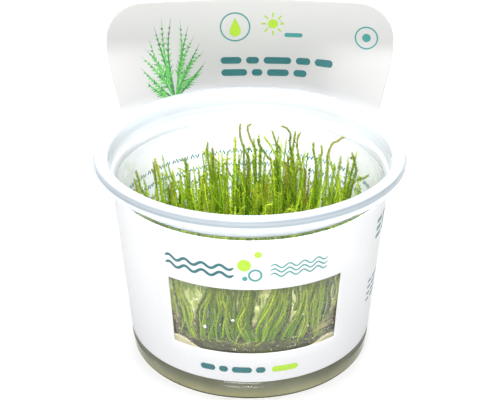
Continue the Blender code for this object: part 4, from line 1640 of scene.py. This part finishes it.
# %% Flames and threads behind the window
FLAMES = (
    # width in mm, strands, a guide of (degrees from the front, height)
    (5.4, 15, ((3.5, 19.6), (-1.0, 24.0), (-3.1, 29.0), (-1.2, 35.5), (0.9, 42.5), (2.0, 52.0))),
    (5.0, 14, ((7.8, 20.0), (9.4, 25.0), (12.5, 30.5), (14.6, 37.0), (15.6, 43.0), (17.5, 53.0))),
    (4.2, 10, ((4.4, 20.6), (5.2, 27.0), (8.6, 33.5), (11.2, 39.0), (13.4, 46.0), (15.0, 52.0))),
    (2.8, 7, ((-7.2, 20.0), (-8.6, 25.5), (-9.6, 32.0), (-9.2, 38.0), (-10.0, 44.0), (-8.5, 51.0))),
    (4.4, 11, ((15.4, 20.5), (18.4, 25.0), (22.2, 30.4), (24.0, 36.0), (25.8, 42.0), (27.5, 51.0))),
    (1.9, 5, ((-17.0, 20.2), (-17.8, 26.0), (-16.2, 32.5), (-15.6, 38.0), (-13.4, 43.6), (-12.0, 50.0))),
    (1.5, 4, ((-21.5, 20.0), (-22.0, 26.0), (-20.8, 32.0), (-18.6, 37.0), (-16.6, 41.5), (-15.8, 49.0))),
    (1.5, 4, ((31.4, 20.4), (30.2, 26.0), (29.4, 32.0), (29.9, 37.0), (30.9, 43.0), (31.5, 50.0))),
    (1.7, 4, ((31.8, 20.8), (33.4, 27.0), (34.0, 33.0), (33.6, 39.0), (34.6, 46.0), (35.0, 52.0))),
    (3.0, 6, ((-26.0, 20.6), (-28.0, 26.0), (-29.6, 31.0), (-31.6, 36.0), (-33.0, 41.0), (-33.6, 49.0))),
    (2.4, 5, ((-13.0, 20.6), (-13.6, 27.0), (-11.8, 33.0), (-12.6, 39.0), (-12.0, 45.0), (-11.0, 51.0))),
    (2.0, 5, ((22.5, 20.4), (24.4, 24.6), (25.6, 29.0), (25.2, 34.0), (28.0, 40.0), (28.8, 48.0))),
)
THREADS = (
    ((-19.4, 19.4), (-22.6, 21.6), (-21.8, 26.0), (-20.0, 31.5), (-18.6, 36.5), (-15.4, 41.0), (-15.8, 46.0)),
    ((-15.2, 19.8), (-18.8, 22.0), (-17.0, 26.5), (-15.6, 30.0), (-15.6, 34.2)),
    ((-6.2, 21.4), (-9.6, 23.4), (-10.8, 27.0)),
    ((-6.2, 21.4), (-5.0, 24.0), (-3.4, 26.0), (-1.6, 29.4)),
    ((-2.6, 35.0), (-3.4, 38.2), (-2.2, 42.0), (-1.4, 46.0)),
    ((11.0, 27.0), (14.4, 31.2), (16.0, 35.0), (16.2, 39.4), (16.4, 45.0)),
    ((21.6, 20.2), (24.2, 26.0), (24.8, 31.0), (25.2, 36.4), (24.4, 40.0)),
    ((30.2, 19.4), (32.4, 23.4), (32.0, 28.0), (33.2, 33.4), (33.6, 39.0), (34.2, 46.0)),
    ((29.0, 24.6), (28.8, 29.0), (30.4, 34.0), (31.0, 38.6)),
    ((-12.6, 35.4), (-11.0, 39.2), (-9.8, 44.4)),
    ((-33.0, 22.0), (-31.0, 25.4), (-29.8, 29.4), (-31.8, 34.0), (-30.6, 40.0), (-31.4, 46.0)),
    ((2.2, 20.6), (5.6, 22.4), (7.4, 25.4), (7.0, 29.6)),
    ((-25.4, 21.0), (-27.4, 24.6), (-26.2, 29.0), (-27.0, 33.8)),
    ((19.6, 33.0), (20.6, 37.0), (19.8, 41.0), (21.4, 46.0)),
)

# %% Strands low on the wall and shoots behind it
BACK_SHOOTS = 36
STRAYS = 22
PALE_ROOTS = 9
LOW_STRANDS = 34
EDGE_STEMS = 5
OLD_EDGES = (
    ((-36.5, 19.6), (-36.0, 24.0), (-37.0, 28.5), (-36.6, 33.0), (-38.0, 37.0)),
    ((38.6, 21.0), (40.2, 26.0), (39.6, 31.0), (41.0, 36.0), (40.4, 42.0), (41.5, 47.0)),
    ((41.0, 19.8), (41.6, 25.0), (42.2, 30.0), (42.0, 36.0)),
)
FLAME_LEAF = (0.7, 0.26, 34, 0.24)
THREAD_LEAF = (0.42, 0.13, 24, 0.2)
EDGE_LEAF = (0.3, 0.09, 20, 0.24)


def stray_guide(rng):
    """A thread's guide that wanders up the wall from a place of its own."""
    turn_deg, height = rng.uniform(-38, 43), rng.uniform(20.5, 38.0)
    lean = rng.normal(0.0, 0.22)
    guide = []
    for _ in range(rng.integers(4, 9)):
        guide.append((turn_deg, height))
        lean += rng.normal(0.0, 0.25)
        turn_deg += 2.4 * lean
        height += rng.uniform(1.6, 3.0)
    return guide


def grow_flames(rng):
    """Bundles of strands, side by side, that flicker up the wall."""
    flames = MossPiece("wall_flames")
    for width, strands, guide in FLAMES:
        for k in range(strands):
            offset = (k / (strands - 1) - 0.5) * 0.85 * width + rng.normal(0, 0.3)
            last = len(guide) if rng.uniform() < 0.6 else len(guide) - 1
            points = wall_points(guide[:last], offset, 0.75 + 0.5 * (k % 3), 0.45, rng)
            flames.shoot(points, rng, leaf=FLAME_LEAF, stem=0.32, base_share=0.1, clear=0.6)
    return flames


def grow_threads(rng):
    """Single threads: listed ones, along the flames' edges, strays, pale roots, and strands low on the wall.
    """
    threads = MossPiece("wall_threads")
    for guide in THREADS:
        points = wall_points(guide, 0.0, 0.4, 0.12, rng)
        threads.shoot(points, rng, leaf=THREAD_LEAF, stem=0.17, base_share=0.4, clear=0.35)
    # bright threads along the flames' edges: partly moss and partly painted highlight, for the bright water
    # edges round the shoots
    for width, _, guide in FLAMES:
        for hand in rng.choice((-1, 1), rng.integers(0, 3), replace=False):
            first = rng.integers(0, 2)
            points = wall_points(guide[first : first + 4], hand * 0.5 * width, 0.4, 0.4, rng)
            threads.shoot(points, rng, leaf=EDGE_LEAF, stem=0.1, base_share=0.5, clear=0.35)
    for _ in range(STRAYS):
        dry = rng.choice((0.0, 0.15, 0.7))
        points = wall_points(stray_guide(rng), 0.0, 0.35, 0.3, rng)
        threads.shoot(points, rng, leaf=EDGE_LEAF, stem=rng.uniform(0.06, 0.13), dry=dry, clear=0.3)
    for _ in range(PALE_ROOTS):
        turn_deg, height = rng.uniform(24, 33), rng.uniform(21.5, 28.0)
        guide = [(turn_deg + 2.2 * i, height + 0.55 * i + rng.normal(0, 0.5)) for i in range(6)]
        points = wall_points(guide, 0.0, 0.35, 0.2, rng)
        threads.shoot(points, rng, leaf=EDGE_LEAF, stem=0.12, dry=0.95, clear=0.3)
    for _ in range(LOW_STRANDS):
        turn_deg, height, way = rng.uniform(-32, 36), rng.uniform(18.9, 21.6), rng.choice((-1, 1))
        guide = []
        for i in range(rng.integers(3, 6)):
            guide.append((turn_deg + 1.7 * way * i, height + rng.normal(0.15 * i, 0.35)))
        points = wall_points(guide, 0.0, 0.35, 0.2, rng)
        threads.shoot(points, rng, leaf=EDGE_LEAF, stem=0.09, dry=rng.uniform(0.0, 0.9), clear=0.3)
    return threads


def grow_edges(rng):
    """Old stems that climb the wall beside the window."""
    edges = MossPiece("wall_edges")
    for guide in OLD_EDGES:
        for _ in range(EDGE_STEMS):
            points = wall_points(guide, rng.normal(0, 0.6), rng.uniform(0.4, 1.2), 0.5, rng)
            edges.shoot(points, rng, stem=0.26, dry=rng.choice((0.0, 0.35)), clear=0.4)
    return edges


def grow_back_shoots(rng):
    """The row of shoots that stands a little way behind the wall."""
    back = MossPiece("wall_shoots")
    for i in range(BACK_SHOOTS):
        foot_deg = -52 + 106 * (i + rng.uniform(-0.4, 0.4)) / BACK_SHOOTS
        heights = np.linspace(WALL_FOOT, rng.uniform(38, 57), 7)
        guide = []
        for height in heights:
            guide.append((foot_deg + rng.uniform(-1.2, 1.2) + 0.08 * (height - WALL_FOOT), height))
        back.shoot(wall_points(guide, 0.0, rng.uniform(3.2, 5.0), 0.8, rng), rng, base_share=0.1)
    return back


wall_rng = np.random.default_rng(77)
wall_flames = grow_flames(wall_rng).finish(wet_moss, "young_moss")
wall_threads = grow_threads(wall_rng).finish(vivid_moss, "young_moss")
grow_edges(wall_rng).finish(old_moss, "young_moss")
grow_back_shoots(wall_rng).finish(young_moss, "young_moss")

# %% [markdown]
# ## Condensation
#
# The closed cup is damp. Fog lies on the inner wall behind the window, thin and patchy, and it is gone where
# moss touches the wall: the fog is one thin curved sheet, and each of its points knows how far the nearest
# shoot is. Small beads of water sit on the wall too. One bead is a flattened sphere. It is copied to many
# places and sizes, and the copies are joined.

# %% Fog on the wall
FOG_SPAN_DEG = (-41.0, 46.0)
FOG_LOW, FOG_HIGH = 20.0, 46.6
FOG_FULL = 26.0
FOG_STEP = 0.35
FOG_CLEAR = 0.25    # mm from a shoot, up to which there is no fog
FOG_EDGE = 0.5    # mm further, over which it grows to its full density
FOG_DEPTH = 0.08
FOG_THICK = 0.03
UNROLL_RADIUS = 40.0
ROOT_TRACES = {"Scales": (1100.0, 1100.0, 260.0), "Detail": 2.0, "Distortion": 0.8, "Low": 0.46, "High": 0.6}


def make_fog_material():
    """Yellowish grey and browner at its foot, with upright streaks where roots and drops left a trace."""
    material, tree, shader = start_material("wall_fog", Roughness=0.75, Specular_IOR_Level=0.2)
    cloudy = mix_color(tree, cloud_mask(tree, 170.0, 0.4, 0.6), (0.34, 0.37, 0.08), (0.77, 0.78, 0.36))
    pale = mix_color(tree, group_output(tree, STREAKS, **ROOT_TRACES), cloudy, (0.23, 0.33, 0.04))
    speckled = mix_color(tree, cloud_mask(tree, 900.0, 0.45, 0.6), (0.13, 0.105, 0.035), (0.38, 0.36, 0.18))
    color = mix_color(tree, height_mask(tree, 27.0, 33.0), speckled, pale)
    tree.links.new(color, shader.inputs["Base Color"])
    density = add_node(tree, "ShaderNodeAttribute", attribute_name="fog")
    patches = cloud_mask(tree, 130.0, 0.3, 0.7)
    alpha = add_node(tree, "ShaderNodeMath", operation="MULTIPLY")
    tree.links.new(density.outputs["Fac"], alpha.inputs[0])
    tree.links.new(mix_value(tree, patches, 0.55, 0.9), alpha.inputs[1])
    tree.links.new(alpha.outputs["Value"], shader.inputs["Alpha"])
    return material


def points_of(piece):
    """A mesh's points in mm."""
    flat = np.empty(3 * len(piece.data.vertices), dtype=np.float32)
    piece.data.vertices.foreach_get("co", flat)
    return flat.reshape(-1, 3) / MM


def unrolled(points):
    """Places on the wall as flat ones: how far round and how high, in mm."""
    turn = np.arctan2(points[:, 0], -points[:, 1])
    return np.stack([turn * UNROLL_RADIUS, points[:, 2]], axis=1)


def fog_density(places, shoots):
    """1 away from the shoots, 0 where one lies behind the fog, and thinner towards the felt."""
    near = np.vstack([unrolled(points_of(piece)) for piece in shoots])
    tree = kdtree.KDTree(len(near))
    for i, (around, height) in enumerate(near):
        tree.insert((around, height, 0.0), i)
    tree.balance()
    apart = np.array([tree.find((around, height, 0.0))[2] for around, height in unrolled(places)])
    density = np.clip((apart - FOG_CLEAR) / FOG_EDGE, 0, 1)
    return density * np.clip((places[:, 2] - FOG_LOW) / (FOG_FULL - FOG_LOW), 0, 1)


def make_fog():
    left, right = (math.radians(turn) for turn in FOG_SPAN_DEG)
    columns = int((right - left) * wall_inner(30) / FOG_STEP)
    rows = int((FOG_HIGH - FOG_LOW) / FOG_STEP)
    deselect_all()
    bpy.ops.mesh.primitive_grid_add(x_subdivisions=columns, y_subdivisions=rows, size=1.0)
    fog = bpy.context.object
    fog.name = "wall_fog"
    for vert in fog.data.vertices:
        turn = left + (right - left) * (vert.co.x + 0.5)
        height = FOG_LOW + (FOG_HIGH - FOG_LOW) * (vert.co.y + 0.5)
        vert.co = Vector(wall_place(turn, height, FOG_DEPTH)) * MM
    thicken(fog, FOG_THICK, even=False)
    places = points_of(fog)
    density = fog.data.attributes.new("fog", "FLOAT", "POINT")
    density.data.foreach_set("value", fog_density(places, (wall_flames, wall_threads)).astype(np.float32))
    fog.data.materials.append(make_fog_material())
    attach(fog, "root")
    print("fog faces:", len(fog.data.polygons))


make_fog()

# %% [markdown]
# ## Drops and crumbs
#
# Low on the wall lie bits of old leaf, brown and grey, thickest just above the felt, and a few white grains
# are painted glints that stand for highlights on drops of water. Like the beads they are small rounded
# grains, scattered over the wall, so one helper makes all three.

# %% Grains on the wall
def scatter_grains(name, material, subdivisions, grains):
    """Many flattened spheres on the inner wall, as one piece. A grain is (degrees, height, size, stretch)."""
    deselect_all()
    bpy.ops.mesh.primitive_ico_sphere_add(subdivisions=subdivisions, radius=1.0)
    grain = bpy.context.object
    verts = np.array([vert.co[:] for vert in grain.data.vertices])
    faces = [tuple(face.vertices) for face in grain.data.polygons]
    all_verts, all_faces = [], []
    for turn_deg, height, size, stretch in grains:
        turn = math.radians(turn_deg)
        outward = np.array((math.sin(turn), -math.cos(turn), 0.0))
        flattened = verts - np.outer(verts @ outward, outward) * 0.6
        place = outward * (wall_inner(height) - size * 0.45) + np.array((0, 0, height))
        first = len(all_verts) * len(verts)
        all_verts.append(flattened * size * np.array((1, 1, stretch)) + place)
        all_faces += [tuple(first + index for index in face) for face in faces]
    bpy.data.objects.remove(grain, do_unlink=True)
    mesh = bpy.data.meshes.new(name)
    mesh.from_pydata(np.vstack(all_verts) * MM, [], all_faces)
    mesh.shade_smooth()
    piece = piece_of(mesh, material)
    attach(piece, "root")
    print(name, "has", len(grains), "grains")


# %% Water beads
BEADS = 60


def make_water():
    material, tree, shader = start_material("water_bead", Roughness=0.02, IOR=1.33, Transmission_Weight=1.0)
    let_lamps_through(tree, shader, (1.0, 1.0, 1.0))
    return material


def bead_grains():
    rng = random.Random(3)
    grains = []
    for _ in range(BEADS):
        turn_deg, height = rng.uniform(-52, 56), rng.uniform(24.6, 46.6)
        grains.append((turn_deg, height, 0.18 + 0.45 * rng.random() ** 3, rng.uniform(1.0, 1.3)))
    return grains


scatter_grains("water_beads", make_water(), 2, bead_grains())

# %% Crumbs and painted glints
CRUMBS = 640
GLINT_DROPS = (
    (-7.4, 30.2, 0.55, 0.8),
    (-20.2, 26.4, 0.55, 1.1),
    (-23.2, 36.6, 0.45, 1.4),
    (-25.0, 32.2, 0.4, 1.2),
)


def crumb_grains():
    """Most of the crumbs lie low, and they thin out upwards."""
    rng = random.Random(8)
    grains = []
    for _ in range(CRUMBS):
        height = 18.6 + 14.5 * rng.random() ** 2.0
        grains.append((rng.uniform(-41, 46), height, 0.07 + 0.22 * rng.random() ** 2, rng.uniform(0.6, 2.2)))
    return grains


def make_crumb_material():
    material, tree, shader = start_material("leaf_crumbs", Roughness=0.7)
    dark = mix_color(tree, cloud_mask(tree, 700.0), (0.10, 0.075, 0.07), (0.20, 0.17, 0.07))
    color = mix_color(tree, cloud_mask(tree, 420.0, 0.5, 0.6), dark, (0.62, 0.56, 0.34))
    tree.links.new(color, shader.inputs["Base Color"])
    return material


# painted highlight: white grains that stand for glints on drops of water
painted_glints = mottled_material("painted_glints", 2500.0, (0.86, 0.88, 0.84), (0.97, 0.97, 0.96), Roughness=0.3)
scatter_grains("leaf_crumbs", make_crumb_material(), 1, crumb_grains())
scatter_grains("glint_drops", painted_glints, 2, GLINT_DROPS)

# %% [markdown]
# ## The floor
#
# The floor is a large pale plane just under the cup. It glows very faintly, so that it runs into the white
# background without an edge, and still takes the cup's soft shadow.

# %% Floor
FLOOR_HALF = 2.0
FLOOR_DROP = 0.1

pale_floor = mottled_material(
    "pale_floor", 30.0, (0.62, 0.62, 0.62), (0.64, 0.64, 0.64), Roughness=0.6,
    Emission_Color=(1.0, 1.0, 1.0, 1.0), Emission_Strength=0.12
)
deselect_all()
bpy.ops.mesh.primitive_plane_add(size=2 * FLOOR_HALF, location=(0, 0, -FLOOR_DROP * MM))
floor = bpy.context.object
floor.name = "pale_floor"
floor.data.materials.append(pale_floor)

# %% Clear the selection
deselect_all()
